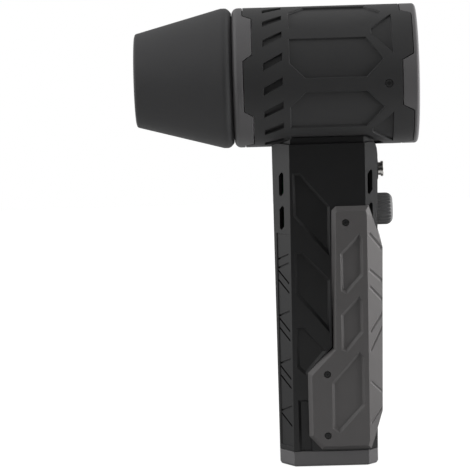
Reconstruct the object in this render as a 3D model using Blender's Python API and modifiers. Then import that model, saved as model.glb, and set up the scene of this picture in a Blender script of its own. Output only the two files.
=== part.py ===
# Cordless car dryer blower, in metres, +Z up.
# The nozzle blows along -X, the intake is at +X and the base cap stands on Z = 0.

import math

import bmesh
import bpy
from mathutils import Matrix, Vector

# Fits
GAP = 0.0003                    # between pieces that rest against each other
SLIDE_GAP = 0.0005              # round pieces that turn or slide
PAST = 0.0010                   # how far a cutter runs past the face it opens

# Barrel, around an axis along X
BARREL_STEPS = 32
SLEEVE_FRONT_RADIUS = 0.0366
SLEEVE_FLARE = 0.0002           # how much wider in radius the rear end is
SLEEVE_WALL = 0.0022
SLEEVE_FRONT_X = -0.0394
SLEEVE_REAR_X = 0.0480
FRONT_TAB_LENGTH = 0.0047
REAR_TAB_LENGTH = 0.0057
TAB_COUNT = 4
TAB_TIP_ANGLE = math.radians(21.0)
TAB_ROOT_ANGLE = math.radians(26.0)

# Recesses in the sleeve
RECESS_DEPTH = 0.0011
SLOT_COUNT = 18
SLOT_X = -0.0243
SLOT_LENGTH = 0.0096
SLOT_WIDTH = 0.0036
SLOT_RISE = 0.0050
PANEL_FRONT_X = -0.0155
PANEL_SHOULDER_X = 0.0238
PANEL_TIP_X = 0.0324
PANEL_HALF_WIDTH = 0.0104
PANEL_TIP_OFFSET = 0.0016
PANEL_CHAMFER = 0.0078
PANEL_ANGLE = math.radians(22.5)
WEDGE_FRONT_X = 0.0270
WEDGE_REAR_X = 0.0373
WEDGE_FRONT_HALF = 0.0017
WEDGE_REAR_HALF = 0.0121

# Bezels and nozzle
FRONT_BEZEL_LENGTH = 0.0058     # ahead of the sleeve
FRONT_BEZEL_STEP = 0.0033       # how far its nose is rounded in from the sleeve
BEZEL_WEB = 0.0025
SPIGOT_LENGTH = 0.0075
SPIGOT_STEP = 0.0029            # in from the barrel's bore
SPIGOT_WALL = 0.0017
REAR_BEZEL_LENGTH = 0.0030      # behind the sleeve
REAR_BEZEL_LIP = 0.0018
REAR_LIP_RISE = 0.0020          # in from the barrel's bore
BEZEL_ROUNDING = 0.0018
NOZZLE_LENGTH = 0.0515
NOZZLE_MOUTH_RADIUS = 0.0245
NOZZLE_LIP_RADIUS = 0.0015
NOZZLE_SHOULDER = 0.0053        # from the bezel to the end of the straight cone
NOZZLE_CREST_PROUD = 0.0001     # beyond the sleeve
NOZZLE_CREST_LENGTH = 0.0015
NOZZLE_REAR_PROUD = 0.0008      # beyond the bezel's nose
NOZZLE_WALL = 0.0028
NOZZLE_THROAT_RUN = 0.0040      # ahead of its socket, where the bore narrows to the throat
NOZZLE_STEPS = 28

# Fan duct and motor
DUCT_SPACE = 0.0012             # between the barrel's bore and the duct
DUCT_WALL = 0.0022
DUCT_FRONT_RING = (-0.0300, -0.0270)
DUCT_SADDLE_RING = (-0.0160, 0.0060)
DUCT_SCREW_RING_HALF = 0.0028
FRONT_SEAL_LENGTH = 0.0009
REAR_SEAL_LENGTH = 0.0020
DUCT_STEPS = 26
SEAL_FIT = 0.0002
SEAL_STEPS = 24
VANE_COUNT = 7
VANE_FRONT_X = -0.0060
VANE_REAR_X = 0.0130
VANE_THICKNESS = 0.0012
VANE_SWEEP = math.radians(24.0)
VANE_TIP_SWEEP = math.radians(17.0)
BLADE_CURL = 0.35               # how much more a blade turns at its rear
POD_RADIUS = 0.0130
POD_WALL = 0.0016
POD_FRONT_X = -0.0080
POD_REAR_X = 0.0205
POD_STEPS = 16
POD_PLATE = 0.0020
BEARING_RADIUS = 0.0032
BEARING_WIDTH = 0.0030
BEARING_STEPS = 12
BEARING_TUBE_WALL = 0.0010
BEARING_TUBE_LENGTH = 0.0220
SHAFT_RADIUS = 0.0015
SHAFT_STEPS = 8
SHAFT_INSET = 0.0010            # behind the pod's front
FRONT_BEARING_INSET = 0.0012
REAR_BEARING_INSET = 0.0004
STATOR_RADIUS = 0.0084
STATOR_TEETH = 9
STATOR_LENGTH = 0.0120
STATOR_SPACE = 0.0030           # behind the pod's plate
STATOR_CORE = 0.0012            # between its bore and its slots
STATOR_SHOE = (0.0008, 0.0010)  # thickness at a shoe's tip and at its root
BELL_RADIUS = 0.0106
BELL_WALL = 0.0016
BELL_SPACE = 0.0010             # ahead of the stator and behind the bearing tube
BELL_FLOOR = 0.0020
BELL_EDGE = 0.0010
FAN_SPACE = 0.0010              # between the pod and the fan
FAN_LENGTH = 0.0145
FAN_TIP_CLEARANCE = 0.0007
HUB_STEP = 0.0002               # in from the pod
HUB_SHAPE = ((0.0000, 0.72), (0.0030, 0.88), (0.0075, 0.98))    # from its rear; share of radius
HUB_BORE = 0.80                 # share of its radius
HUB_HOLLOW = 0.0060             # how deep
BLADE_COUNT = 9
BLADE_THICKNESS = 0.0011
BLADE_ROOT = 0.90               # share of the hub's radius
BLADE_INSET = (0.0010, 0.0020)  # from the hub's front and rear
BLADE_SWEEP_ROOT = math.radians(22.0)
BLADE_SWEEP_TIP = math.radians(34.0)
SPINNER_LENGTH = 0.0085
SPINNER_BORE = 0.0047
TAIL_LENGTH = 0.0290

# Intake grille
GRILLE_LENGTH = 0.0027
GRILLE_RIM = 0.0034
GRILLE_RING_COUNT = 5
GRILLE_BAR = 0.0013
GRILLE_BAR_DEPTH = 0.0018
GRILLE_SPOKES = 6
GRILLE_STEPS = 20
SPOKE_INSET = 0.0001            # from a bar's faces

# Handle: an octagonal section that tapers from the top to the base cap
CAP_HEIGHT = 0.0087
HANDLE_TOP_Z = 0.1714
HANDLE_SIDE_SPACE = 0.0012      # between the battery cells and the walls
HANDLE_FRONT_SPACE = 0.0048
HANDLE_REAR_SPACE = 0.0052
HANDLE_REAR_FLARE = 0.0030      # how far the rear face leans out up to the top
FRONT_CHAMFER_RUN = (0.0075, 0.0090)        # at the base cap and at the top
REAR_CHAMFER_RUN = (0.0049, 0.0069)
FRONT_CHAMFER_RATIO = 1.01      # how far a chamfer runs in Y for its run in X
REAR_CHAMFER_RATIO = 0.80
HANDLE_WALL = 0.0022
# The sloped rear corner: up from the handle's top and in from its rear face
CROWN = ((-0.0010, 0.0007), (-0.0065, 0.0002))
CROWN_FOOT = -0.0190            # where it runs out down the rear face

# Side panels pressed into the handle, seen from the side
SIDE_PANEL_DEPTH = 0.0014
SIDE_PANEL_SLOPE = 0.0014
SIDE_PANEL_INSET = 0.0013       # behind the front chamfer at the top
SIDE_PANEL_TOP_WIDTH = 0.0042
SIDE_PANEL_MARGIN = 0.0007      # between a panel and the grip cover
# Z of a panel's top, of its rear edge's two ends and of its front edge's lower end
SIDE_PANEL_Z = ((0.1599, 0.1417, 0.1147, 0.1369), (0.1179, 0.1024, 0.0734, 0.0954))
STEP_PANEL_Z = (0.0771, 0.0548) # top and lower end of the front edge
STEP_PANEL_REAR = ((-0.0113, 0.0510), (0.0000, 0.0637))     # along the cover's slanted step
LAST_PANEL_Z = 0.0374           # its top; it runs out at the bottom
LAST_PANEL_MARGIN = 0.0011

# Slots and grooves on the chamfered corners
VENT_HEIGHT = 0.0130
VENT_WIDTH = 0.0033
VENT_SLANT = 0.0022
VENT_POINT = 0.2                # where an end's point lies, as a share of half the width
VENT_SHOULDER = 0.3             # how far its short side is set back, as a share of the slant
VENT_FRONT_DROPS = (0.0177, 0.0356)         # below the handle's top
VENT_REAR_DROPS = (0.0172, 0.0347)
GRIP_FIELD_BOTTOM = 0.0028      # above the base cap
GRIP_FIELD_DROP = 0.0441        # below the handle's top
GRIP_FIELD_DEPTH = 0.0005
GRIP_FIELD_BORDER = 0.0010
GROOVE_WIDTH = 0.0011
GROOVE_DEPTH = 0.0008
GROOVE_REACH = 0.0080
GROOVE_GROUP_DROP = 0.0190      # below the grip field's top
GROOVE_GROUP_COUNT = 4
GROOVE_GROUP_PITCH = 0.0260
GROOVE_GROUP = ((0.0000, 0.0035), (-0.0013, -0.0077), (-0.0064, -0.0128))
GROOVE_LEAD = (0.0047, 0.0082)  # one more above the first group

# Rear grip cover
COVER_PROUD = 0.0026
COVER_CHAMFER_MORE = 0.0004     # how much longer its rear chamfers run than the handle's
COVER_DROP = 0.0293             # below the handle's top
COVER_NICK = 0.0022
COVER_FRONT_X = (0.0043, 0.0029)            # at its top and at its step
COVER_STEP_Z = 0.0658
COVER_TOE_X = -0.0102
COVER_TOE_Z = (0.0521, 0.0174)
COVER_LIFT = 0.0011             # above the base cap
COVER_BOTTOM_X = -0.0035
COVER_REAR_BOTTOM = 0.0205      # from its bottom up to the rear face
COVER_REAR_DROP = 0.0241        # from its top down to the rear face
COVER_EDGE_SLOPE = 0.0026
COVER_CORNER = 0.0014           # where its slanted ends leave the rear chamfer
COVER_RUNOUT = 0.0028           # where they leave the rear face
WINDOW_DEPTH = 0.0012
WINDOW_SLOPE = 0.0015
# Its pressed windows in X and Z, from the top one down
WINDOWS = (((0.0083, 0.0965), (0.0113, 0.0949), (0.0204, 0.1050), (0.0204, 0.1247),
            (0.0187, 0.1276), (0.0083, 0.1169)),
           ((0.0080, 0.0647), (0.0110, 0.0633), (0.0198, 0.0740), (0.0198, 0.0911),
            (0.0178, 0.0940), (0.0080, 0.0839)),
           ((0.0023, 0.0213), (0.0062, 0.0190), (0.0200, 0.0340), (0.0200, 0.0609),
            (0.0174, 0.0638), (0.0025, 0.0470)))
# Z at the two ends of each groove across its rear chamfers
COVER_GROOVES = ((0.1269, 0.1181), (0.1074, 0.1006), (0.0984, 0.0904), (0.0740, 0.0828),
                 (0.0636, 0.0756), (0.0469, 0.0396), (0.0239, 0.0322))
COVER_GROOVE_REACH = (-0.0031, 0.0051)

# Base cap
CAP_FLOOR = 0.0024
CAP_WALL = 0.0022
CAP_EDGE = ((0.0000, 0.0020), (0.0006, 0.0007), (0.0020, 0.0000))   # height and inset

# Screws: head radius, head height, shank radius
SCREW_HEAD_RADIUS = 0.0015
SCREW_HEAD_HEIGHT = 0.0009
SCREW_SHANK_RADIUS = 0.0008
SCREW_STEPS = 8
SCREW_HOLE_CLEARANCE = 0.0004
SCREW_SINK = 0.0002
BOSS_RADIUS = 0.0027
BOSS_STEPS = 10
BARREL_SCREW_X = 0.0352
BARREL_SCREW_LENGTH = 0.0030
UPPER_GRIP_SCREW = (0.0116, 0.0087)         # X, and below the cover's top
LOWER_GRIP_SCREWS = ((0.0002, 0.0516), (-0.0002, 0.0179))
GRIP_SCREW_LENGTH = 0.0060
GRIP_BOSS_LENGTH = 0.0042
BASE_SCREWS = ((-0.0214, 0.0098), (0.0222, 0.0120))
BASE_BOSS_TOP_Z = 0.0205
BASE_SCREW_LENGTH = 0.0140
SADDLE_SCREWS = ((-0.0135, 0.0090), (0.0035, -0.0090))
SADDLE_SCREW_BITE = 0.0035      # past the duct's outside
BARREL_SCREW_WEB = 0.0007       # sleeve left under the screw's head

# Saddle bracket between the handle and the barrel
SADDLE_DEPTH = 0.0104           # below the handle's top
SADDLE_REAR_X = 0.0100
WIRE_HOLE = (-0.0080, -0.0020, 0.0060)      # front, rear and half width
WIRE_REACH = 0.0050             # past the duct's inside

# Speed control
KNOB_SPACING = 0.0216           # below the button
KNOB_RADIUS = 0.0085
KNOB_LENGTH = 0.0074
KNOB_END_WALL = 0.0014
KNOB_ROUNDING = 0.0030
KNOB_RIDGES = 20
KNOB_FLUTE_DEPTH = 0.0005
KNOB_STAND_OFF = 0.0006
KNOB_STEPS = 3                  # around its rounded end
LEAN_CLEARANCE = 0.0002         # for a flat piece against the leaning rear wall
NUT_ACROSS_FLATS = 0.0110
NUT_HEIGHT = 0.0017
BUSHING_PROUD = 0.0002          # beyond the nut
POT_RADIUS = 0.0080
POT_LENGTH = 0.0100
POT_FLOOR = 0.0030
POT_BUSHING_RADIUS = 0.0045
POT_SHAFT_RADIUS = 0.0030

# Power button
BUTTON_DROP = 0.0140            # below the handle's top
BUTTON_BOSS_RADIUS = 0.0056
BUTTON_BOSS_PROUD = 0.0005
BUTTON_BOSS_DEPTH = 0.0030
CONTROL_STEPS = 16
CONTROL_HOLE_STEPS = 24
BUTTON_FLANGE_RADIUS = 0.0042
BUTTON_FLANGE = 0.0016
BUTTON_FLANGE_EDGE = 0.0003
BUSHING_RADIUS = 0.0035
BUSHING_LENGTH = 0.0105
PLUNGER_RADIUS = 0.0025
PLUNGER_PROUD = 0.0004
PLUNGER_LENGTH = 0.0110
PLUNGER_EDGE = 0.0005
SWITCH_LENGTH = 0.0118
SWITCH_HALF_Y = 0.0065
SWITCH_ABOVE = 0.0066           # above the button's axis
SWITCH_LIFT = 0.0007            # above the potentiometer
SWITCH_SPACE = 0.0012           # behind the handle's wall

# Battery and electronics
CELL_RADIUS = 0.0090
CELL_LENGTH = 0.0650
CELL_SPACE_X = 0.0020
CELL_SPACE_Y = 0.0012
CELL_STEPS = 12
HOLDER_DEPTH = 0.0080
HOLDER_FLOOR = 0.0016
BUS_BAR_OVERHANG = 0.0050       # beyond the cells' axes
BUS_BAR_THICKNESS = 0.0004
UPPER_HOLDER_TOP = 0.0044
BOARD_THICKNESS = 0.0016
BOARD_SPACE = 0.0004            # behind the handle's front wall
BOARD_REAR_X = 0.0080
BOARD_SLOT_DEPTH = 0.0020
CAPACITOR_RADIUS = 0.0060
CAPACITOR_LENGTH = 0.0220
CAPACITOR_PLACE = (-0.0060, 0.0364)         # X, and below the handle's top
SINK_X = (-0.0150, 0.0050)
SINK_LIFT = 0.0090              # above the cell holder
SINK_LENGTH = 0.0240
SINK_HEIGHT = 0.0080
SINK_FINS = 5
SINK_BASE = 0.0020
CHARGE_BOARD = (0.0020, 0.0235, 0.0085, 0.0010)     # front, rear, half width, thickness
USB_WIDTH = 0.0090
USB_HEIGHT = 0.0032
USB_DEPTH = 0.0073
USB_SHELL_WALL = 0.0004
USB_SINK = 0.0006               # in from the cap's rear face
USB_BACK = 0.0010
USB_OPENING_CLEARANCE = 0.0003

# Worked out: the cells set the handle's width, and the handle carries the barrel
CELL_PITCH_X = 2 * CELL_RADIUS + CELL_SPACE_X
CELL_PITCH_Y = 2 * CELL_RADIUS + CELL_SPACE_Y
CELL_END_X = CELL_PITCH_X / 2 + CELL_RADIUS
HANDLE_HALF_Y = CELL_PITCH_Y / 2 + CELL_RADIUS + HANDLE_SIDE_SPACE + HANDLE_WALL
HANDLE_FRONT_X = -(CELL_END_X + HANDLE_FRONT_SPACE + HANDLE_WALL)
HANDLE_REAR_BOTTOM_X = CELL_END_X + HANDLE_REAR_SPACE + HANDLE_WALL
HANDLE_REAR_X = (HANDLE_REAR_BOTTOM_X, HANDLE_REAR_BOTTOM_X + HANDLE_REAR_FLARE)
AXIS_Z = HANDLE_TOP_Z + SLEEVE_FRONT_RADIUS
SLEEVE_REAR_RADIUS = SLEEVE_FRONT_RADIUS + SLEEVE_FLARE
BARREL_BORE_RADIUS = SLEEVE_FRONT_RADIUS - SLEEVE_WALL
FRONT_BEZEL_X = SLEEVE_FRONT_X - FRONT_BEZEL_LENGTH
FRONT_BEZEL_NOSE_RADIUS = SLEEVE_FRONT_RADIUS - FRONT_BEZEL_STEP
SPIGOT_RADIUS = BARREL_BORE_RADIUS - SPIGOT_STEP
REAR_BEZEL_X = SLEEVE_REAR_X + REAR_BEZEL_LENGTH
REAR_BEZEL_MOUTH_RADIUS = BARREL_BORE_RADIUS - REAR_LIP_RISE
NOZZLE_MOUTH_X = FRONT_BEZEL_X - NOZZLE_LENGTH
NOZZLE_CREST_X = FRONT_BEZEL_X - NOZZLE_SHOULDER
NOZZLE_CREST_RADIUS = SLEEVE_FRONT_RADIUS + NOZZLE_CREST_PROUD
NOZZLE_REAR_RADIUS = FRONT_BEZEL_NOSE_RADIUS + NOZZLE_REAR_PROUD
GRILLE_REAR_X = REAR_BEZEL_X - REAR_BEZEL_LIP - GAP
GRILLE_FRONT_X = GRILLE_REAR_X - GRILLE_LENGTH
DUCT_RADIUS = BARREL_BORE_RADIUS - DUCT_SPACE
DUCT_FRONT_X = FRONT_BEZEL_X + BEZEL_WEB + FRONT_SEAL_LENGTH + 2 * GAP
DUCT_REAR_X = GRILLE_FRONT_X - REAR_SEAL_LENGTH - 2 * GAP
DUCT_RINGS = (DUCT_FRONT_RING, DUCT_SADDLE_RING,
              (BARREL_SCREW_X - DUCT_SCREW_RING_HALF, BARREL_SCREW_X + DUCT_SCREW_RING_HALF))
FAN_FRONT_X = POD_REAR_X + FAN_SPACE
FAN_REAR_X = FAN_FRONT_X + FAN_LENGTH
HUB_RADIUS = POD_RADIUS - HUB_STEP
COVER_TOP_Z = HANDLE_TOP_Z - COVER_DROP
COVER_BOTTOM_Z = CAP_HEIGHT + COVER_LIFT
GRIP_FIELD_Z = (CAP_HEIGHT + GRIP_FIELD_BOTTOM, HANDLE_TOP_Z - GRIP_FIELD_DROP)
GRIP_SCREWS = ((UPPER_GRIP_SCREW[0], COVER_TOP_Z - UPPER_GRIP_SCREW[1]), *LOWER_GRIP_SCREWS)
SADDLE_BOTTOM_Z = HANDLE_TOP_Z - SADDLE_DEPTH
BUTTON_Z = HANDLE_TOP_Z - BUTTON_DROP
KNOB_Z = BUTTON_Z - KNOB_SPACING
BOARD_X = (HANDLE_FRONT_X + HANDLE_WALL + BOARD_SPACE, BOARD_REAR_X)
BUS_BAR_HALF = CELL_PITCH_X / 2 + BUS_BAR_OVERHANG


# ---- Scene ---------------------------------------------------------------------------------

def clear_scene():
    for old in list(bpy.data.objects):
        bpy.data.objects.remove(old, do_unlink=True)


def new_collection(name):
    collection = bpy.data.collections.new(name)
    bpy.context.scene.collection.children.link(collection)
    return collection


clear_scene()
part = new_collection("car_dryer_blower")
cutters = new_collection("cutters")


def surface(name, colour, roughness, metallic=0.0):
    material = bpy.data.materials.new(name)
    material.use_nodes = True
    shader = material.node_tree.nodes["Principled BSDF"]
    shader.inputs["Base Color"].default_value = (*colour, 1.0)
    shader.inputs["Roughness"].default_value = roughness
    shader.inputs["Metallic"].default_value = metallic
    material.diffuse_color = (*colour, 1.0)
    return material


def place(name, mesh, material=None, matrix=None):
    """Link a mesh as a finished piece, or as a cutter when it has no material."""
    obj = bpy.data.objects.new(name, mesh)
    if material is None:
        cutters.objects.link(obj)
        obj.hide_render = True
        obj.display_type = "WIRE"
    else:
        part.objects.link(obj)
        mesh.materials.clear()
        mesh.materials.append(material)
    if matrix is not None:
        obj.matrix_world = matrix
    return obj


def baked(obj):
    """A mesh of the object's evaluated shape, in world coordinates."""
    bpy.context.view_layer.update()
    depsgraph = bpy.context.evaluated_depsgraph_get()
    mesh = bpy.data.meshes.new_from_object(obj.evaluated_get(depsgraph))
    mesh.transform(obj.matrix_world)
    work = bmesh.new()
    work.from_mesh(mesh)
    bmesh.ops.remove_doubles(work, verts=work.verts, dist=1e-6)
    work.to_mesh(mesh)
    work.free()
    return mesh


def finish(obj, smooth=None):
    """Replace an object by its evaluated shape, with its modifiers used up."""
    mesh = baked(obj)
    obj.modifiers.clear()
    obj.matrix_world = Matrix.Identity(4)
    obj.data = mesh
    if smooth is not None:
        mesh.shade_smooth()
        mesh.set_sharp_from_angle(angle=math.radians(smooth))
    return obj


def boolean(target, operand, operation):
    modifier = target.modifiers.new(operation.lower(), "BOOLEAN")
    modifier.operation = operation
    modifier.solver = "EXACT"
    modifier.object = operand


def cut(target, *operands):
    for operand in operands:
        boolean(target, operand, "DIFFERENCE")


def fuse(target, *operands):
    for operand in operands:
        boolean(target, operand, "UNION")


def keep(target, operand):
    boolean(target, operand, "INTERSECT")


# ---- Forms ---------------------------------------------------------------------------------

def turn_about(axis, origin):
    """A matrix that lays a turned profile's own +Z along the axis."""
    return Matrix.Translation(origin) @ Vector(axis).to_track_quat("Z", "Y").to_matrix().to_4x4()


def along_x(x=0.0, y=0.0, z=AXIS_Z):
    return Matrix.Translation((x, y, z)) @ Matrix.Rotation(math.pi / 2, 4, "Y")


def turned(name, profile, steps, material=None, matrix=None):
    """Turn (height, radius) points; they run down the outside and back up the inside."""
    work = bmesh.new()
    corners = [work.verts.new((radius, 0.0, height)) for height, radius in profile]
    for first, second in zip(corners, corners[1:]):
        work.edges.new((first, second))
    if profile[0][1] > 0.0 or profile[-1][1] > 0.0:
        work.edges.new((corners[-1], corners[0]))
    # Half a step round, so that no facet edge lies in a plane of symmetry
    bmesh.ops.rotate(work, verts=work.verts, matrix=Matrix.Rotation(math.pi / steps, 3, "Z"))
    mesh = bpy.data.meshes.new(name)
    work.to_mesh(mesh)
    work.free()
    obj = place(name, mesh, material, matrix)
    screw = obj.modifiers.new("turn", "SCREW")
    screw.angle = math.tau
    screw.steps = steps
    screw.render_steps = steps
    screw.use_merge_vertices = True
    screw.merge_threshold = 1e-5
    return finish(obj, 35)


def tube(name, x_rear, x_front, outer, inner, steps, material=None):
    profile = ((x_rear, outer), (x_front, outer), (x_front, inner), (x_rear, inner))
    return turned(name, profile, steps, material, along_x())


def peg(name, start, end, radius, steps=BOSS_STEPS, material=None):
    """A plain round bar from one point to another."""
    start = Vector(start)
    length = (Vector(end) - start).length
    profile = ((length, 0.0), (length, radius), (0.0, radius), (0.0, 0.0))
    return turned(name, profile, steps, material, turn_about(Vector(end) - start, start))


def box(name, low, high, material=None):
    work = bmesh.new()
    bmesh.ops.create_cube(work, size=1.0)
    mesh = bpy.data.meshes.new(name)
    work.to_mesh(mesh)
    work.free()
    size = Vector(high) - Vector(low)
    middle = (Vector(high) + Vector(low)) / 2
    mesh.transform(Matrix.Translation(middle) @ Matrix.Diagonal((*size, 1.0)))
    return place(name, mesh, material)


def plate(name, outlines, thickness, matrix, material=None):
    """A flat outline, with holes if it has more than one loop, thickened about its plane."""
    curve = bpy.data.curves.new(name, "CURVE")
    curve.dimensions = "2D"
    curve.fill_mode = "BOTH"
    curve.extrude = thickness / 2
    for outline in outlines:
        spline = curve.splines.new("POLY")
        spline.points.add(len(outline) - 1)
        spline.use_cyclic_u = True
        for point, (x, y) in zip(spline.points, outline):
            point.co = (x, y, 0.0, 1.0)
    shape = bpy.data.objects.new(name + "_outline", curve)
    cutters.objects.link(shape)
    shape.matrix_world = matrix
    mesh = baked(shape)
    bpy.data.objects.remove(shape, do_unlink=True)
    return place(name, mesh, material)


def loft(name, sections, material=None, matrix=None):
    """A closed solid through rings of equally many points, first and last capped."""
    work = bmesh.new()
    rings = [[work.verts.new(point) for point in section] for section in sections]
    count = len(rings[0])
    for lower, upper in zip(rings, rings[1:]):
        for i in range(count):
            j = (i + 1) % count
            work.faces.new((lower[i], lower[j], upper[j], upper[i]))
    work.faces.new(list(reversed(rings[0])))
    work.faces.new(rings[-1])
    bmesh.ops.recalc_face_normals(work, faces=work.faces)
    mesh = bpy.data.meshes.new(name)
    work.to_mesh(mesh)
    work.free()
    return place(name, mesh, material, matrix)


def grown(outline, distance):
    """A counter-clockwise outline moved outwards by a distance, its corners kept sharp."""
    count = len(outline)
    moved = []
    for i in range(count):
        before = Vector(outline[i - 1])
        here = Vector(outline[i])
        after = Vector(outline[(i + 1) % count])
        first = (here - before).normalized()
        second = (after - here).normalized()
        first_normal = Vector((first.y, -first.x))
        second_normal = Vector((second.y, -second.x))
        reach = distance / (1.0 + first_normal.dot(second_normal))
        moved.append(here + (first_normal + second_normal) * reach)
    return moved


def pocket(name, outline, depth, slope, matrix):
    """A cutter for a recess with sloping walls; the matrix puts its plane on the face."""
    top = grown(outline, slope * PAST / depth)
    bottom = grown(outline, -slope)
    return loft(name, [[(x, y, PAST) for x, y in top], [(x, y, -depth) for x, y in bottom]],
                matrix=matrix)


def ring_points(count, radius, start=0.0):
    return [(radius * math.cos(start + math.tau * i / count),
             radius * math.sin(start + math.tau * i / count)) for i in range(count)]


def mirrored(name, source, material):
    """The other-hand copy of a finished piece, across the Y = 0 plane."""
    mesh = source.data.copy()
    mesh.transform(Matrix.Diagonal((1.0, -1.0, 1.0, 1.0)))
    mesh.flip_normals()
    return place(name, mesh, material)


def screw(name, head_seat, direction, length, material):
    """A plain screw; its head sits on head_seat and its shank runs along the direction."""
    top = SCREW_HEAD_HEIGHT
    profile = ((top, 0.0), (top, SCREW_HEAD_RADIUS), (0.0, SCREW_HEAD_RADIUS),
               (0.0, SCREW_SHANK_RADIUS), (-length, SCREW_SHANK_RADIUS), (-length, 0.0))
    return turned(name, profile, SCREW_STEPS, material, turn_about(-Vector(direction), head_seat))


# ---- Colours -------------------------------------------------------------------------------

black_soft = surface("black_soft", (0.045, 0.045, 0.048), 0.75)
black_shell = surface("black_shell", (0.022, 0.022, 0.023), 0.55)
black_sleeve = surface("black_sleeve", (0.030, 0.030, 0.032), 0.60)
grey_paint = surface("grey_paint", (0.105, 0.100, 0.103), 0.50)
grey_cover = surface("grey_cover", (0.090, 0.083, 0.085), 0.55)
grey_ridge = surface("grey_ridge", (0.060, 0.060, 0.062), 0.55)
chrome = surface("chrome", (0.80, 0.78, 0.75), 0.15, 1.0)
steel = surface("steel", (0.45, 0.45, 0.46), 0.30, 1.0)
dark_steel = surface("dark_steel", (0.05, 0.05, 0.05), 0.40, 1.0)
aluminium = surface("aluminium", (0.70, 0.70, 0.72), 0.35, 1.0)
copper = surface("copper", (0.72, 0.34, 0.16), 0.35, 1.0)
seal_rubber = surface("seal_rubber", (0.03, 0.03, 0.03), 0.85)
holder_plastic = surface("holder_plastic", (0.04, 0.04, 0.04), 0.60)
cell_wrap = surface("cell_wrap", (0.10, 0.30, 0.20), 0.40)
board_green = surface("board_green", (0.03, 0.16, 0.07), 0.50)
capacitor_sleeve = surface("capacitor_sleeve", (0.05, 0.06, 0.12), 0.40)


# ---- Barrel --------------------------------------------------------------------------------

def sleeve_radius(x):
    share = (x - SLEEVE_FRONT_X) / (SLEEVE_REAR_X - SLEEVE_FRONT_X)
    return SLEEVE_FRONT_RADIUS + share * (SLEEVE_REAR_RADIUS - SLEEVE_FRONT_RADIUS)


def radial(angle):
    """Lays a flat outline's X along the barrel and its Z out of it; angle 0 is the -Y side."""
    return Matrix.Translation((0.0, 0.0, AXIS_Z)) @ Matrix.Rotation(math.pi / 2 - angle, 4, "X")


def radial_prism(name, outline, angle, low=BARREL_BORE_RADIUS / 2):
    """An outline on the barrel's side, run out along the radius from low to clear of it."""
    high = SLEEVE_REAR_RADIUS * 1.25
    matrix = radial(angle) @ Matrix.Translation((0.0, 0.0, (low + high) / 2))
    return plate(name, [outline], high - low, matrix)


def tab_outline(tip_x, root_x, grow):
    """A sleeve tab seen along the radius, with its root run on past the seam."""
    toward_root = math.copysign(1.0, root_x - tip_x)
    tip_half = SLEEVE_REAR_RADIUS * math.sin(TAB_TIP_ANGLE)
    root_half = SLEEVE_REAR_RADIUS * math.sin(TAB_ROOT_ANGLE)
    flare = (root_half - tip_half) / abs(root_x - tip_x)
    start = tip_x - toward_root * grow
    end = root_x + toward_root * PAST
    start_half = tip_half + grow - flare * grow
    end_half = root_half + grow + flare * PAST
    return [(start, -start_half), (end, -end_half), (end, end_half), (start, start_half)]


def notch_outline(tip_x, root_x):
    """What a sleeve loses between two tabs: the tab outline's other side."""
    past_tip = tip_x + math.copysign(PAST, tip_x - root_x)
    pitch = math.tau / TAB_COUNT
    root_half = SLEEVE_REAR_RADIUS * math.sin(pitch / 2 - TAB_ROOT_ANGLE)
    tip_half = SLEEVE_REAR_RADIUS * math.sin(pitch / 2 - TAB_TIP_ANGLE)
    flare = (tip_half - root_half) / abs(root_x - tip_x)
    end_half = tip_half + flare * PAST
    return [(root_x, -root_half), (past_tip, -end_half), (past_tip, end_half), (root_x, root_half)]


def tab_angles(offset):
    return [offset + math.tau * i / TAB_COUNT for i in range(TAB_COUNT)]


FRONT_SEAM_X = SLEEVE_FRONT_X + FRONT_TAB_LENGTH
REAR_SEAM_X = SLEEVE_REAR_X - REAR_TAB_LENGTH
HALF_TAB_PITCH = math.pi / TAB_COUNT


def panel_outline(hand):
    """One long panel; hand +1 has its chamfered corner towards -Y's lower side."""
    width = PANEL_HALF_WIDTH
    points = [(PANEL_FRONT_X, width), (PANEL_FRONT_X, -width + PANEL_CHAMFER),
              (PANEL_FRONT_X + PANEL_CHAMFER, -width), (PANEL_SHOULDER_X, -width),
              (PANEL_TIP_X, -PANEL_TIP_OFFSET), (PANEL_SHOULDER_X, width)]
    return [(x, y * hand) for x, y in points]


def slot_outline():
    half = SLOT_WIDTH / 2
    front = SLOT_X - SLOT_LENGTH / 2
    rear = SLOT_X + SLOT_LENGTH / 2
    rise = SLOT_RISE / 2
    return [(front, -rise - half), (rear, rise - half), (rear, rise + half), (front, -rise + half)]


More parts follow.
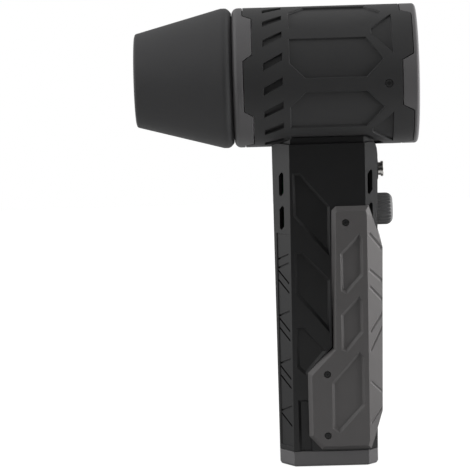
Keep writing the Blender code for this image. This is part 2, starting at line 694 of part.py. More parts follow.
def make_sleeve():
    length_points = ((SLEEVE_REAR_X, SLEEVE_REAR_RADIUS), (SLEEVE_FRONT_X, SLEEVE_FRONT_RADIUS),
                     (SLEEVE_FRONT_X, BARREL_BORE_RADIUS), (SLEEVE_REAR_X, BARREL_BORE_RADIUS))
    sleeve = turned("barrel_sleeve", length_points, BARREL_STEPS, black_sleeve, along_x())

    # The recess floors follow the sleeve, so their outlines only cut a thin outer layer.
    floor_front = SLEEVE_FRONT_RADIUS - RECESS_DEPTH
    floor_rear = SLEEVE_REAR_RADIUS - RECESS_DEPTH
    clear = SLEEVE_REAR_RADIUS + 2 * PAST
    layer_points = ((SLEEVE_REAR_X, clear), (SLEEVE_FRONT_X, clear),
                    (SLEEVE_FRONT_X, floor_front), (SLEEVE_REAR_X, floor_rear))
    layer = turned("recess_layer", layer_points, BARREL_STEPS, None, along_x())
    outlines = []
    for i in range(SLOT_COUNT):
        outlines.append(radial_prism(f"slot_{i}", slot_outline(), math.tau * i / SLOT_COUNT))
    for i in range(TAB_COUNT):
        quarter = math.tau * i / TAB_COUNT
        outlines.append(radial_prism(f"panel_{i}a", panel_outline(1), quarter + PANEL_ANGLE))
        outlines.append(radial_prism(f"panel_{i}b", panel_outline(-1), quarter - PANEL_ANGLE))
        wedge = [(WEDGE_FRONT_X, -WEDGE_FRONT_HALF), (WEDGE_REAR_X, -WEDGE_REAR_HALF),
                 (WEDGE_REAR_X, WEDGE_REAR_HALF), (WEDGE_FRONT_X, WEDGE_FRONT_HALF)]
        outlines.append(radial_prism(f"wedge_{i}", wedge, quarter + HALF_TAB_PITCH))
    keep(layer, joined("recess_outlines", outlines))
    cut(sleeve, finish(layer))

    for angle in tab_angles(HALF_TAB_PITCH):
        cut(sleeve, radial_prism("front_notch", notch_outline(SLEEVE_FRONT_X, FRONT_SEAM_X), angle))
    for angle in tab_angles(0.0):
        # A sleeve tab at the rear sits where the rear bezel has its notch.
        cut(sleeve, radial_prism("rear_notch", notch_outline(SLEEVE_REAR_X, REAR_SEAM_X), angle))
        cut(sleeve, barrel_screw_hole(angle))
    cut(sleeve, wire_passage())
    for x, y in SADDLE_SCREWS:
        cut(sleeve, saddle_screw_hole(x, y))
    return finish(sleeve, 30)


def joined(name, objects):
    """One cutter mesh out of several that stay apart."""
    work = bmesh.new()
    for obj in objects:
        work.from_mesh(obj.data)
        bpy.data.objects.remove(obj, do_unlink=True)
    mesh = bpy.data.meshes.new(name)
    work.to_mesh(mesh)
    work.free()
    return place(name, mesh)


def radial_point(angle, radius, x):
    return Vector((x, -radius * math.cos(angle), AXIS_Z + radius * math.sin(angle)))


BARREL_SCREW_SEAT = BARREL_BORE_RADIUS + BARREL_SCREW_WEB
SCREW_HOLE = SCREW_SHANK_RADIUS + SCREW_HOLE_CLEARANCE
SCREW_HEAD_HOLE = SCREW_HEAD_RADIUS + SCREW_HOLE_CLEARANCE


def stepped_hole(name, inside, seat, outside):
    """One cutter for a screw's clearance hole and the counterbore that its head sits in."""
    inside = Vector(inside)
    step = (Vector(seat) - inside).length
    length = (Vector(outside) - inside).length
    profile = ((length, 0.0), (length, SCREW_HEAD_HOLE), (step, SCREW_HEAD_HOLE),
               (step, SCREW_HOLE), (0.0, SCREW_HOLE), (0.0, 0.0))
    return turned(name, profile, BOSS_STEPS, None, turn_about(Vector(outside) - inside, inside))


def barrel_screw_hole(angle):
    inside = radial_point(angle, BARREL_BORE_RADIUS - PAST, BARREL_SCREW_X)
    seat = radial_point(angle, BARREL_SCREW_SEAT, BARREL_SCREW_X)
    outside = radial_point(angle, SLEEVE_REAR_RADIUS + PAST, BARREL_SCREW_X)
    return stepped_hole("barrel_screw_hole", inside, seat, outside)


def wire_passage():
    front, rear, half = WIRE_HOLE
    top = AXIS_Z - DUCT_BORE + WIRE_REACH
    return box("wire_passage", (front, -half, SADDLE_BOTTOM_Z - PAST), (rear, half, top))


def saddle_screw_hole(x, y):
    start = (x, y, SADDLE_BOTTOM_Z - PAST)
    end = (x, y, AXIS_Z - DUCT_RADIUS + SADDLE_SCREW_BITE + 2 * PAST)
    return peg("saddle_hole", start, end, SCREW_HOLE)


def make_front_bezel():
    nose = FRONT_BEZEL_NOSE_RADIUS
    shoulder = sleeve_radius(SLEEVE_FRONT_X)
    rear_x = FRONT_SEAM_X - GAP
    profile = [(rear_x, sleeve_radius(rear_x)), (SLEEVE_FRONT_X, shoulder)]
    rounding = shoulder - nose
    for i in range(1, 4):
        turn = i / 3 * math.pi / 2
        profile.append((FRONT_BEZEL_X + rounding * (1 - math.sin(turn)),
                        nose + rounding * math.cos(turn)))
    web_x = FRONT_BEZEL_X + BEZEL_WEB
    spigot_x = FRONT_BEZEL_X - SPIGOT_LENGTH
    spigot_bore = SPIGOT_RADIUS - SPIGOT_WALL
    profile += [(FRONT_BEZEL_X, SPIGOT_RADIUS), (spigot_x, SPIGOT_RADIUS),
                (spigot_x, spigot_bore), (web_x, spigot_bore), (web_x, BARREL_BORE_RADIUS),
                (rear_x, BARREL_BORE_RADIUS)]
    bezel = turned("front_bezel", profile, BARREL_STEPS, grey_paint, along_x())
    for angle in tab_angles(0.0):
        outline = tab_outline(SLEEVE_FRONT_X, FRONT_SEAM_X, GAP)
        cut(bezel, radial_prism("sleeve_tab", outline, angle))
    return finish(bezel, 30)


def make_rear_bezel():
    front_x = REAR_SEAM_X + GAP
    lip_x = REAR_BEZEL_X - REAR_BEZEL_LIP
    rounding = BEZEL_ROUNDING
    profile = [(REAR_BEZEL_X, REAR_BEZEL_MOUTH_RADIUS)]
    for i in range(4):
        turn = i / 3 * math.pi / 2
        profile.append((REAR_BEZEL_X - rounding * (1 - math.cos(turn)),
                        SLEEVE_REAR_RADIUS - rounding * (1 - math.sin(turn))))
    profile += [(front_x, sleeve_radius(front_x)), (front_x, BARREL_BORE_RADIUS),
                (lip_x, BARREL_BORE_RADIUS), (lip_x, REAR_BEZEL_MOUTH_RADIUS)]
    bezel = turned("rear_bezel", profile, BARREL_STEPS, grey_paint, along_x())
    for angle in tab_angles(HALF_TAB_PITCH):
        outline = tab_outline(SLEEVE_REAR_X, REAR_SEAM_X, GAP)
        cut(bezel, radial_prism("sleeve_tab", outline, angle))
    return finish(bezel, 30)


def make_nozzle():
    rear_x = FRONT_BEZEL_X - GAP
    socket = SPIGOT_RADIUS + GAP
    socket_x = FRONT_BEZEL_X - SPIGOT_LENGTH - GAP
    slope = (NOZZLE_CREST_RADIUS - NOZZLE_MOUTH_RADIUS) / (NOZZLE_CREST_X - NOZZLE_MOUTH_X)
    profile = [(rear_x, NOZZLE_REAR_RADIUS)]
    shoulder = NOZZLE_CREST_X + NOZZLE_CREST_LENGTH
    for i in range(1, 4):
        turn = i / 3 * math.pi / 2
        profile.append((rear_x - (rear_x - shoulder) * math.sin(turn),
                        NOZZLE_CREST_RADIUS - (NOZZLE_CREST_RADIUS - NOZZLE_REAR_RADIUS)
                        * (1 - math.sin(turn)) ** 2))
    profile.append((NOZZLE_CREST_X, NOZZLE_CREST_RADIUS))
    lip = NOZZLE_LIP_RADIUS
    lip_outer = NOZZLE_MOUTH_RADIUS + slope * lip
    profile.append((NOZZLE_MOUTH_X + lip, lip_outer))
    profile.append((NOZZLE_MOUTH_X + lip * 0.3, lip_outer - lip * 0.3))
    profile.append((NOZZLE_MOUTH_X, lip_outer - lip))
    bore = NOZZLE_MOUTH_RADIUS - NOZZLE_WALL
    throat = socket - SPIGOT_WALL
    profile += [(NOZZLE_MOUTH_X, bore), (socket_x - NOZZLE_THROAT_RUN, throat), (socket_x, throat),
                (socket_x, socket), (rear_x, socket)]
    return turned("nozzle", profile, NOZZLE_STEPS, black_soft, along_x())


# ---- Fan -----------------------------------------------------------------------------------

def swept_blade(name, front_x, rear_x, root, tip, sweep_root, sweep_tip, thickness, spans):
    """A thin blade: a grid bent round the barrel's axis, then thickened."""
    work = bmesh.new()
    bmesh.ops.create_grid(work, x_segments=spans, y_segments=3, size=0.5)
    for vert in work.verts:
        across = vert.co.x + 0.5
        chord = vert.co.y + 0.5
        radius = root + across * (tip - root)
        sweep = sweep_root + across * (sweep_tip - sweep_root)
        angle = sweep * (chord - 0.5) * (1.0 + BLADE_CURL * (chord - 0.5))
        x = front_x + chord * (rear_x - front_x)
        vert.co = (x, -radius * math.cos(angle), radius * math.sin(angle))
    bmesh.ops.recalc_face_normals(work, faces=work.faces)
    mesh = bpy.data.meshes.new(name)
    work.to_mesh(mesh)
    work.free()
    blade = place(name, mesh)
    solid = blade.modifiers.new("thickness", "SOLIDIFY")
    solid.thickness = thickness
    solid.offset = 0.0
    return finish(blade)


def ring_of(blade, count, name):
    """Copies of a blade about the barrel's axis, as one cutter mesh."""
    copies = []
    for i in range(count):
        mesh = blade.data.copy()
        spin = Matrix.Rotation(math.tau * i / count, 4, "X")
        mesh.transform(Matrix.Translation((0.0, 0.0, AXIS_Z)) @ spin)
        copies.append(place(name, mesh))
    bpy.data.objects.remove(blade, do_unlink=True)
    return joined(name, copies)


DUCT_BORE = DUCT_RADIUS - DUCT_WALL
DUCT_RING_RADIUS = BARREL_BORE_RADIUS - GAP
BEARING_SEAT = BEARING_RADIUS + GAP
BEARING_TUBE = BEARING_SEAT + BEARING_TUBE_WALL
BEARING_TUBE_REAR_X = POD_FRONT_X + BEARING_TUBE_LENGTH


def make_duct():
    profile = [(DUCT_REAR_X, DUCT_RADIUS)]
    for front, rear in reversed(DUCT_RINGS):
        profile += [(rear, DUCT_RADIUS), (rear, DUCT_RING_RADIUS),
                    (front, DUCT_RING_RADIUS), (front, DUCT_RADIUS)]
    profile += [(DUCT_FRONT_X, DUCT_RADIUS), (DUCT_FRONT_X, DUCT_BORE), (DUCT_REAR_X, DUCT_BORE)]
    duct = turned("fan_duct", profile, DUCT_STEPS, aluminium, along_x())
    plate_x = POD_FRONT_X + POD_PLATE
    pod_bore = POD_RADIUS - POD_WALL
    pod_profile = ((POD_REAR_X, POD_RADIUS), (POD_FRONT_X, POD_RADIUS),
                   (POD_FRONT_X, BEARING_SEAT), (BEARING_TUBE_REAR_X, BEARING_SEAT),
                   (BEARING_TUBE_REAR_X, BEARING_TUBE), (plate_x, BEARING_TUBE),
                   (plate_x, pod_bore), (POD_REAR_X, pod_bore))
    pod = turned("motor_pod", pod_profile, POD_STEPS, None, along_x())
    vane = swept_blade("vane", VANE_FRONT_X, VANE_REAR_X, POD_RADIUS - POD_WALL / 2,
                       DUCT_BORE + DUCT_WALL / 2, VANE_SWEEP, VANE_TIP_SWEEP, VANE_THICKNESS, 1)
    vanes = ring_of(vane, VANE_COUNT, "vanes")
    fuse(duct, vanes, pod)
    for angle in tab_angles(0.0):
        start = radial_point(angle, DUCT_BORE + GAP * 2, BARREL_SCREW_X)
        end = radial_point(angle, BARREL_BORE_RADIUS + PAST, BARREL_SCREW_X)
        cut(duct, peg("duct_screw_hole", start, end, SCREW_HOLE))
    cut(duct, wire_passage())
    for x, y in SADDLE_SCREWS:
        cut(duct, saddle_screw_hole(x, y))
    return finish(duct, 30)


def make_impeller():
    bore = SHAFT_RADIUS + GAP
    hollow_x = FAN_FRONT_X + HUB_HOLLOW
    profile = [(FAN_REAR_X, bore)]
    profile += [(FAN_REAR_X - back, HUB_RADIUS * share) for back, share in HUB_SHAPE]
    profile += [(FAN_FRONT_X, HUB_RADIUS), (FAN_FRONT_X, HUB_RADIUS * HUB_BORE),
                (hollow_x, HUB_RADIUS * HUB_BORE), (hollow_x, bore)]
    impeller = turned("impeller", profile, POD_STEPS, aluminium, along_x())
    blade = swept_blade("blade", FAN_FRONT_X + BLADE_INSET[0], FAN_REAR_X - BLADE_INSET[1],
                        HUB_RADIUS * BLADE_ROOT, DUCT_BORE - FAN_TIP_CLEARANCE, BLADE_SWEEP_ROOT,
                        BLADE_SWEEP_TIP, BLADE_THICKNESS, 2)
    fuse(impeller, ring_of(blade, BLADE_COUNT, "blades"))
    return finish(impeller, 30)


def make_spinner():
    bore = SHAFT_RADIUS + GAP
    base_x = FAN_REAR_X + GAP
    base_radius = HUB_RADIUS * HUB_SHAPE[0][1]
    profile = []
    for i in range(6):
        turn = i / 5 * math.pi / 2
        profile.append((base_x + SPINNER_LENGTH * math.cos(turn), base_radius * math.sin(turn)))
    blind = base_x + SPINNER_BORE
    profile += [(base_x, bore), (blind, bore), (blind, 0.0)]
    return turned("spinner", profile, POD_STEPS, aluminium, along_x())


def make_tail_cone():
    rear_x = POD_FRONT_X - GAP
    profile = [(rear_x, 0.0), (rear_x, POD_RADIUS)]
    for i in range(1, 6):
        turn = i / 5 * math.pi / 2
        profile.append((rear_x - TAIL_LENGTH * math.sin(turn), POD_RADIUS * math.cos(turn) ** 0.8))
    profile[-1] = (rear_x - TAIL_LENGTH, 0.0)
    return turned("tail_cone", profile, POD_STEPS, holder_plastic, along_x())


def make_motor():
    shaft_front = POD_FRONT_X + SHAFT_INSET
    shaft_rear = FAN_REAR_X + SPINNER_BORE
    peg("motor_shaft", (shaft_front, 0.0, AXIS_Z), (shaft_rear, 0.0, AXIS_Z), SHAFT_RADIUS,
        SHAFT_STEPS, steel)

    bearing_bore = SHAFT_RADIUS + GAP
    rear_bearing = BEARING_TUBE_REAR_X - REAR_BEARING_INSET - BEARING_WIDTH
    for name, front in (("bearing_front", POD_FRONT_X + FRONT_BEARING_INSET),
                        ("bearing_rear", rear_bearing)):
        tube(name, front + BEARING_WIDTH, front, BEARING_RADIUS, bearing_bore, BEARING_STEPS, steel)

    # Each tooth is a narrow stem with a wide shoe; the shares are of the pitch between teeth.
    stator_front = POD_FRONT_X + POD_PLATE + STATOR_SPACE
    stator_bore = BEARING_TUBE + GAP
    tip, root = STATOR_SHOE
    half_tooth = ((stator_bore + STATOR_CORE, 0.20), (STATOR_RADIUS - root, 0.16),
                  (STATOR_RADIUS - tip, 0.42), (STATOR_RADIUS, 0.40))
    outline = []
    pitch = math.tau / STATOR_TEETH
    for i in range(STATOR_TEETH):
        for radius, share in half_tooth:
            angle = (i - share) * pitch
            outline.append((radius * math.cos(angle), radius * math.sin(angle)))
        for radius, share in reversed(half_tooth):
            angle = (i + share) * pitch
            outline.append((radius * math.cos(angle), radius * math.sin(angle)))
    middle = along_x(stator_front + STATOR_LENGTH / 2)
    hole = ring_points(SEAL_STEPS, stator_bore)
    plate("motor_stator", [outline, hole], STATOR_LENGTH, middle, copper)

    bell_front = stator_front - BELL_SPACE
    bell_end = BEARING_TUBE_REAR_X + BELL_SPACE
    bell_bore = BELL_RADIUS - BELL_WALL
    bell_rear = bell_end + BELL_FLOOR
    profile = ((bell_rear, bearing_bore), (bell_rear, BELL_RADIUS - BELL_EDGE),
               (bell_rear - BELL_EDGE, BELL_RADIUS), (bell_front, BELL_RADIUS),
               (bell_front, bell_bore), (bell_end, bell_bore), (bell_end, bearing_bore))
    turned("motor_bell", profile, POD_STEPS, dark_steel, along_x())


def make_grille():
    rear_x = GRILLE_REAR_X
    outer = BARREL_BORE_RADIUS - GAP
    grille = tube("intake_grille", rear_x, GRILLE_FRONT_X, outer, outer - GRILLE_RIM, DUCT_STEPS,
                  dark_steel)
    bar_front = rear_x - GRILLE_BAR_DEPTH
    pitch = (outer - GRILLE_RIM + GRILLE_BAR) / (GRILLE_RING_COUNT + 2)
    hub = pitch
    rings = [peg("grille_hub", (bar_front, 0.0, AXIS_Z), (rear_x, 0.0, AXIS_Z), hub,
                 GRILLE_STEPS)]
    for i in range(1, GRILLE_RING_COUNT + 1):
        ring_outer = hub + i * pitch
        rings.append(tube(f"grille_ring_{i}", rear_x, bar_front, ring_outer,
                          ring_outer - GRILLE_BAR, GRILLE_STEPS))
    spokes = []
    reach = outer - GRILLE_RIM / 2
    for i in range(GRILLE_SPOKES // 2):
        spoke = box("spoke", (bar_front + SPOKE_INSET, -reach, -GRILLE_BAR / 2),
                    (rear_x - SPOKE_INSET, reach, GRILLE_BAR / 2))
        spoke.data.transform(Matrix.Rotation(math.tau * i / GRILLE_SPOKES, 4, "X"))
        spoke.data.transform(Matrix.Translation((0.0, 0.0, AXIS_Z)))
        spokes.append(spoke)
    fuse(grille, *spokes)
    fuse(grille, joined("grille_rings", rings))
    return finish(grille, 30)


def make_seals():
    web_x = FRONT_BEZEL_X + BEZEL_WEB
    outer = DUCT_RADIUS - SEAL_FIT
    inner = DUCT_BORE + SEAL_FIT
    for name, rear, front in (("front_duct_seal", DUCT_FRONT_X - GAP, web_x + GAP),
                              ("rear_duct_seal", GRILLE_FRONT_X - GAP, DUCT_REAR_X + GAP)):
        tube(name, rear, front, outer, inner, SEAL_STEPS, seal_rubber)


def make_barrel_screws():
    for i, angle in enumerate(tab_angles(0.0)):
        seat = radial_point(angle, BARREL_SCREW_SEAT + GAP, BARREL_SCREW_X)
        inward = radial_point(angle, 0.0, BARREL_SCREW_X) - seat
        screw(f"barrel_screw_{i + 1}", seat, inward.normalized(), BARREL_SCREW_LENGTH, dark_steel)


# ---- Handle --------------------------------------------------------------------------------

def at_height(pair, z):
    share = (z - CAP_HEIGHT) / (HANDLE_TOP_Z - CAP_HEIGHT)
    return pair[0] + share * (pair[1] - pair[0])


def handle_section(z, more=0.0):
    """The handle's octagon at a height, counter-clockwise seen from above."""
    rear = at_height(HANDLE_REAR_X, z)
    shoulder_front = HANDLE_FRONT_X + at_height(FRONT_CHAMFER_RUN, z)
    shoulder_rear = rear - at_height(REAR_CHAMFER_RUN, z) - more
    front_half = HANDLE_HALF_Y - FRONT_CHAMFER_RATIO * (shoulder_front - HANDLE_FRONT_X)
    rear_half = HANDLE_HALF_Y - REAR_CHAMFER_RATIO * (rear - shoulder_rear)
    return [(HANDLE_FRONT_X, -front_half), (shoulder_front, -HANDLE_HALF_Y),
            (shoulder_rear, -HANDLE_HALF_Y), (rear, -rear_half),
            (rear, rear_half), (shoulder_rear, HANDLE_HALF_Y),
            (shoulder_front, HANDLE_HALF_Y), (HANDLE_FRONT_X, front_half)]


def handle_core(name, grow, bottom, top, material=None, more=0.0):
    """The handle's tapered octagon, grown or shrunk, between two heights."""
    sections = []
    for z in (bottom, top):
        sections.append([(x, y, z) for x, y in grown(handle_section(z, more), grow)])
    return loft(name, sections, material)


def face_frame(face, grow=0.0, more=0.0):
    """Lays an outline on a face of the handle: X across it, Y up it at true Z, Z outwards."""
    low = grown(handle_section(0.0, more), grow)
    high = grown(handle_section(HANDLE_TOP_Z, more), grow)
    corner = FACES.index(face)
    start, end = low[corner], low[corner + 1]
    above = (high[corner] + high[corner + 1]) / 2
    middle = (start + end) / 2
    across = Vector((end.x - start.x, end.y - start.y, 0.0)).normalized()
    rise = Vector((above.x - middle.x, above.y - middle.y, HANDLE_TOP_Z))
    outward = across.cross(rise).normalized()
    up = rise / HANDLE_TOP_Z
    matrix = Matrix.Identity(4)
    for row in range(3):
        matrix[row][0] = across[row]
        matrix[row][1] = up[row]
        matrix[row][2] = outward[row]
    matrix.translation = (middle.x, middle.y, 0.0)
    return matrix


FACES = ("front_chamfer", "side", "rear_chamfer")      # in the order of the octagon's corners
SIDE_PLANE = Matrix.Rotation(math.pi / 2, 4, "X")     # outline X and Y become X and Z


def side_plane(y):
    return Matrix.Translation((0.0, y, 0.0)) @ SIDE_PLANE


def stroke(name, start, end, width, depth, matrix):
    """A cutter for a straight groove between two points of a face."""
    start, end = Vector(start), Vector(end)
    side = (end - start).normalized()
    side = Vector((-side.y, side.x)) * width / 2
    corners = [start - side, end - side, end + side, start + side]
    rings = [[(x, y, PAST) for x, y in corners], [(x, y, -depth) for x, y in corners]]
    return loft(name, rings, matrix=matrix)


def cover_outline():
    """The grip cover seen from the side, counter-clockwise in X and Z."""
    clear = HANDLE_REAR_X[1] + 3 * COVER_PROUD
    front_top, front_step = COVER_FRONT_X
    toe_top, toe_bottom = COVER_TOE_Z
    rear_bottom = COVER_BOTTOM_Z + COVER_REAR_BOTTOM
    rear_top = COVER_TOP_Z - COVER_REAR_DROP
    bottom_corner = HANDLE_REAR_X[0] - REAR_CHAMFER_RUN[0] + COVER_CORNER
    top_corner = HANDLE_REAR_X[1] - REAR_CHAMFER_RUN[1] + COVER_CORNER
    return [(COVER_TOE_X, toe_bottom), (COVER_BOTTOM_X, COVER_BOTTOM_Z),
            (bottom_corner, COVER_BOTTOM_Z), (rear_x(rear_bottom) + COVER_RUNOUT, rear_bottom),
            (clear, rear_bottom), (clear, rear_top), (rear_x(rear_top) + COVER_RUNOUT, rear_top),
            (top_corner, COVER_TOP_Z), (front_top + COVER_NICK, COVER_TOP_Z),
            (front_top, COVER_TOP_Z - COVER_NICK), (front_step, COVER_STEP_Z),
            (COVER_TOE_X, toe_top)]


def cover_front_x(z):
    """The front edge of the grip cover, from its top down to its step."""
    top, step = COVER_FRONT_X
    return top + (COVER_TOP_Z - z) / (COVER_TOP_Z - COVER_STEP_Z) * (step - top)


def side_panels():
    """The pressed panels' outlines in X and Z, from the top one down."""
    front = HANDLE_FRONT_X + FRONT_CHAMFER_RUN[1] + SIDE_PANEL_INSET
    inner = front + SIDE_PANEL_TOP_WIDTH
    outlines = []
    for top, upper, lower, edge in SIDE_PANEL_Z:
        outlines.append([(front, edge), (cover_front_x(lower) - SIDE_PANEL_MARGIN, lower),
                         (cover_front_x(upper) - SIDE_PANEL_MARGIN, upper), (inner, top),
                         (front, top)])
    top, edge = STEP_PANEL_Z
    outlines.append([(front, edge), *STEP_PANEL_REAR, (inner, top), (front, top)])
    rear = COVER_TOE_X - LAST_PANEL_MARGIN
    bottom = CAP_HEIGHT - PAST
    outlines.append([(front, bottom), (rear, bottom), (rear, LAST_PANEL_Z), (front, LAST_PANEL_Z)])
    return outlines


def vent_outline(z):
    half = VENT_WIDTH / 2
    point = half * VENT_POINT
    tip = VENT_HEIGHT / 2
    short = tip - VENT_SLANT * VENT_SHOULDER
    long = tip - VENT_SLANT
    return [(-half, z - short), (-point, z - tip), (half, z - long), (half, z + short),
            (point, z + tip), (-half, z + long)]


def grip_grooves(face):
    """Groove groups down the front chamfer, each a rising stroke and two falling ones."""
    strokes = []
    half = GROOVE_REACH / 2
    for i in range(GROOVE_GROUP_COUNT):
        base = GRIP_FIELD_Z[1] - GROOVE_GROUP_DROP - i * GROOVE_GROUP_PITCH
        group = list(GROOVE_GROUP)
        if i == 0:
            group.append(GROOVE_LEAD)
        if i == GROOVE_GROUP_COUNT - 1:
            group.pop()
        for start, end in group:
            strokes.append(stroke("grip_groove", (-half, base + start), (half, base + end),
                                  GROOVE_WIDTH, GRIP_FIELD_DEPTH + GROOVE_DEPTH, face))
    return strokes


def grip_field(face):
    section = handle_section(0.0)
    across = (Vector(section[1]) - Vector(section[0])).length
    half = across / 2 - GRIP_FIELD_BORDER
    low, high = GRIP_FIELD_Z
    outline = [(-half, low), (half, low), (half, high), (-half, high)]
    return pocket("grip_field", outline, GRIP_FIELD_DEPTH, GRIP_FIELD_DEPTH / 2, face)


def barrel_clearance(grow):
    """The sleeve's outside as a solid, to seat the handle on."""
    front, rear = FRONT_BEZEL_X, REAR_BEZEL_X
    profile = ((rear, 0.0), (rear, sleeve_radius(rear) + grow),
               (front, sleeve_radius(front) + grow), (front, 0.0))
    return turned("barrel_clearance", profile, BARREL_STEPS, None, along_x())


def rear_x(z):
    return at_height(HANDLE_REAR_X, z)


SHELL_BOTTOM_Z = CAP_HEIGHT + GAP
SHELL_TOP_Z = AXIS_Z - math.sqrt(SLEEVE_FRONT_RADIUS ** 2 - HANDLE_HALF_Y ** 2) + PAST
BUTTON_BOSS_X = rear_x(BUTTON_Z) + BUTTON_BOSS_PROUD
INNER_REAR_AT_KNOB = rear_x(KNOB_Z) - HANDLE_WALL


def crown_cutter():
    """The slope at the handle's top rear corner."""
    edge = rear_x(HANDLE_TOP_Z)
    outline = [(edge + 2 * PAST, HANDLE_TOP_Z + CROWN_FOOT), (edge + 2 * PAST, SHELL_TOP_Z + PAST),
               (edge - CROWN[0][1], SHELL_TOP_Z + PAST)]
    outline += [(edge - inset, HANDLE_TOP_Z + rise) for rise, inset in CROWN]
    return plate("crown", [outline], HANDLE_HALF_Y * 3, side_plane(0.0))


def grip_screw_hole(x, z, side):
    """The head's counterbore in the cover and the clearance hole through to the boss."""
    face = side * (HANDLE_HALF_Y + COVER_PROUD)
    seat = face - side * (SCREW_SINK + SCREW_HEAD_HEIGHT + GAP)
    end = side * (HANDLE_HALF_Y - HANDLE_WALL - GRIP_BOSS_LENGTH + GAP)
    return stepped_hole("grip_screw_hole", (x, end, z), (x, seat, z), (x, face + side * PAST, z))


def make_handle_shells():
    shell = handle_core("handle_shell_left", 0.0, SHELL_BOTTOM_Z, SHELL_TOP_Z, black_shell)
    cavity = handle_core("handle_cavity", -HANDLE_WALL, SHELL_BOTTOM_Z - PAST, SHELL_TOP_Z + PAST)
    cut(shell, cavity)

    # Bosses, then everything that is cut through wall and boss alike
    inner_y = HANDLE_HALF_Y - HANDLE_WALL
    for x, z in GRIP_SCREWS:
        fuse(shell, peg("grip_boss", (x, -inner_y - HANDLE_WALL / 2, z),
                        (x, -inner_y + GRIP_BOSS_LENGTH, z), BOSS_RADIUS))
    for x, y in BASE_SCREWS:
        fuse(shell, peg("base_boss", (x, -y, SHELL_BOTTOM_Z), (x, -y, BASE_BOSS_TOP_Z), BOSS_RADIUS))
    fuse(shell, peg("button_boss", (BUTTON_BOSS_X - BUTTON_BOSS_DEPTH, 0.0, BUTTON_Z),
                    (BUTTON_BOSS_X, 0.0, BUTTON_Z), BUTTON_BOSS_RADIUS, CONTROL_HOLE_STEPS))
    cut(shell, crown_cutter(), barrel_clearance(GAP))
    for outline in side_panels():
        cut(shell, pocket("side_panel", outline, SIDE_PANEL_DEPTH, SIDE_PANEL_SLOPE,
                          side_plane(-HANDLE_HALF_Y)))
    front_face = face_frame("front_chamfer")
    rear_face = face_frame("rear_chamfer")
    cut(shell, grip_field(front_face))
    cut(shell, *grip_grooves(front_face))
    for drops, face in ((VENT_FRONT_DROPS, front_face), (VENT_REAR_DROPS, rear_face)):
        for drop in drops:
            outline = vent_outline(HANDLE_TOP_Z - drop)
            cut(shell, plate("vent", [outline], 4 * HANDLE_WALL, face))
    for x, z in GRIP_SCREWS:
        cut(shell, grip_screw_hole(x, z, -1))
    for x, y in BASE_SCREWS:
        cut(shell, peg("base_hole", (x, -y, 0.0), (x, -y, BASE_SCREW_LENGTH + 2 * PAST),
                       SCREW_HOLE))
    behind = INNER_REAR_AT_KNOB - HANDLE_WALL
    ahead = KNOB_END_X
    cut(shell, peg("knob_hole", (behind, 0.0, KNOB_Z), (ahead, 0.0, KNOB_Z),
                   POT_BUSHING_RADIUS + GAP, CONTROL_HOLE_STEPS))
    cut(shell, peg("button_hole", (behind, 0.0, BUTTON_Z), (ahead, 0.0, BUTTON_Z),
                   BUSHING_RADIUS + GAP, CONTROL_HOLE_STEPS))
    far = HANDLE_HALF_Y + 2 * PAST
    cut(shell, box("other_half", (-2 * far, -GAP / 2, 0.0), (2 * far, far, SHELL_TOP_Z + far)))
    finish(shell, 25)
    mirrored("handle_shell_right", shell, black_shell)


def make_cover():
    low, high = COVER_BOTTOM_Z - 2 * COVER_PROUD, COVER_TOP_Z + 2 * COVER_PROUD
    cover = handle_core("rear_grip_cover", COVER_PROUD, low, high, grey_cover, COVER_CHAMFER_MORE)
    cut(cover, handle_core("cover_inside", GAP, low - PAST, high + PAST))
    outline = cover_outline()
    edge = HANDLE_HALF_Y + GAP
    reach = COVER_PROUD + GAP
    inset = grown(outline, -COVER_EDGE_SLOPE * reach / COVER_PROUD)
    rings = []
    for y, points in ((-edge - reach, inset), (-edge, outline), (edge, outline),
                      (edge + reach, inset)):
        rings.append([(x, y, z) for x, z in points])
    keep(cover, loft("cover_profile", rings))
    finish(cover)
    face = HANDLE_HALF_Y + COVER_PROUD
    for side in (-1, 1):
        hand = Matrix.Diagonal((1.0, -side, 1.0, 1.0))
        for points in WINDOWS:
            window = pocket("window", points, WINDOW_DEPTH, WINDOW_SLOPE, side_plane(-face))
            cut(cover, handed(window, hand))
        chamfer = face_frame("rear_chamfer", COVER_PROUD, COVER_CHAMFER_MORE)
        near, far = COVER_GROOVE_REACH
        for start, end in COVER_GROOVES:
            groove = stroke("cover_groove", (near, start), (far, end), GROOVE_WIDTH, GROOVE_DEPTH,
                            chamfer)
            cut(cover, handed(groove, hand))
        for x, z in GRIP_SCREWS:
            cut(cover, grip_screw_hole(x, z, side))
    finish(cover, 25)


def handed(cutter, matrix):
    """Move a cutter by a matrix that may mirror it, keeping its faces outwards."""
    mesh = baked(cutter)
    mesh.transform(matrix)
    if matrix.determinant() < 0.0:
        mesh.flip_normals()
    cutter.matrix_world = Matrix.Identity(4)
    cutter.data = mesh
    return cutter


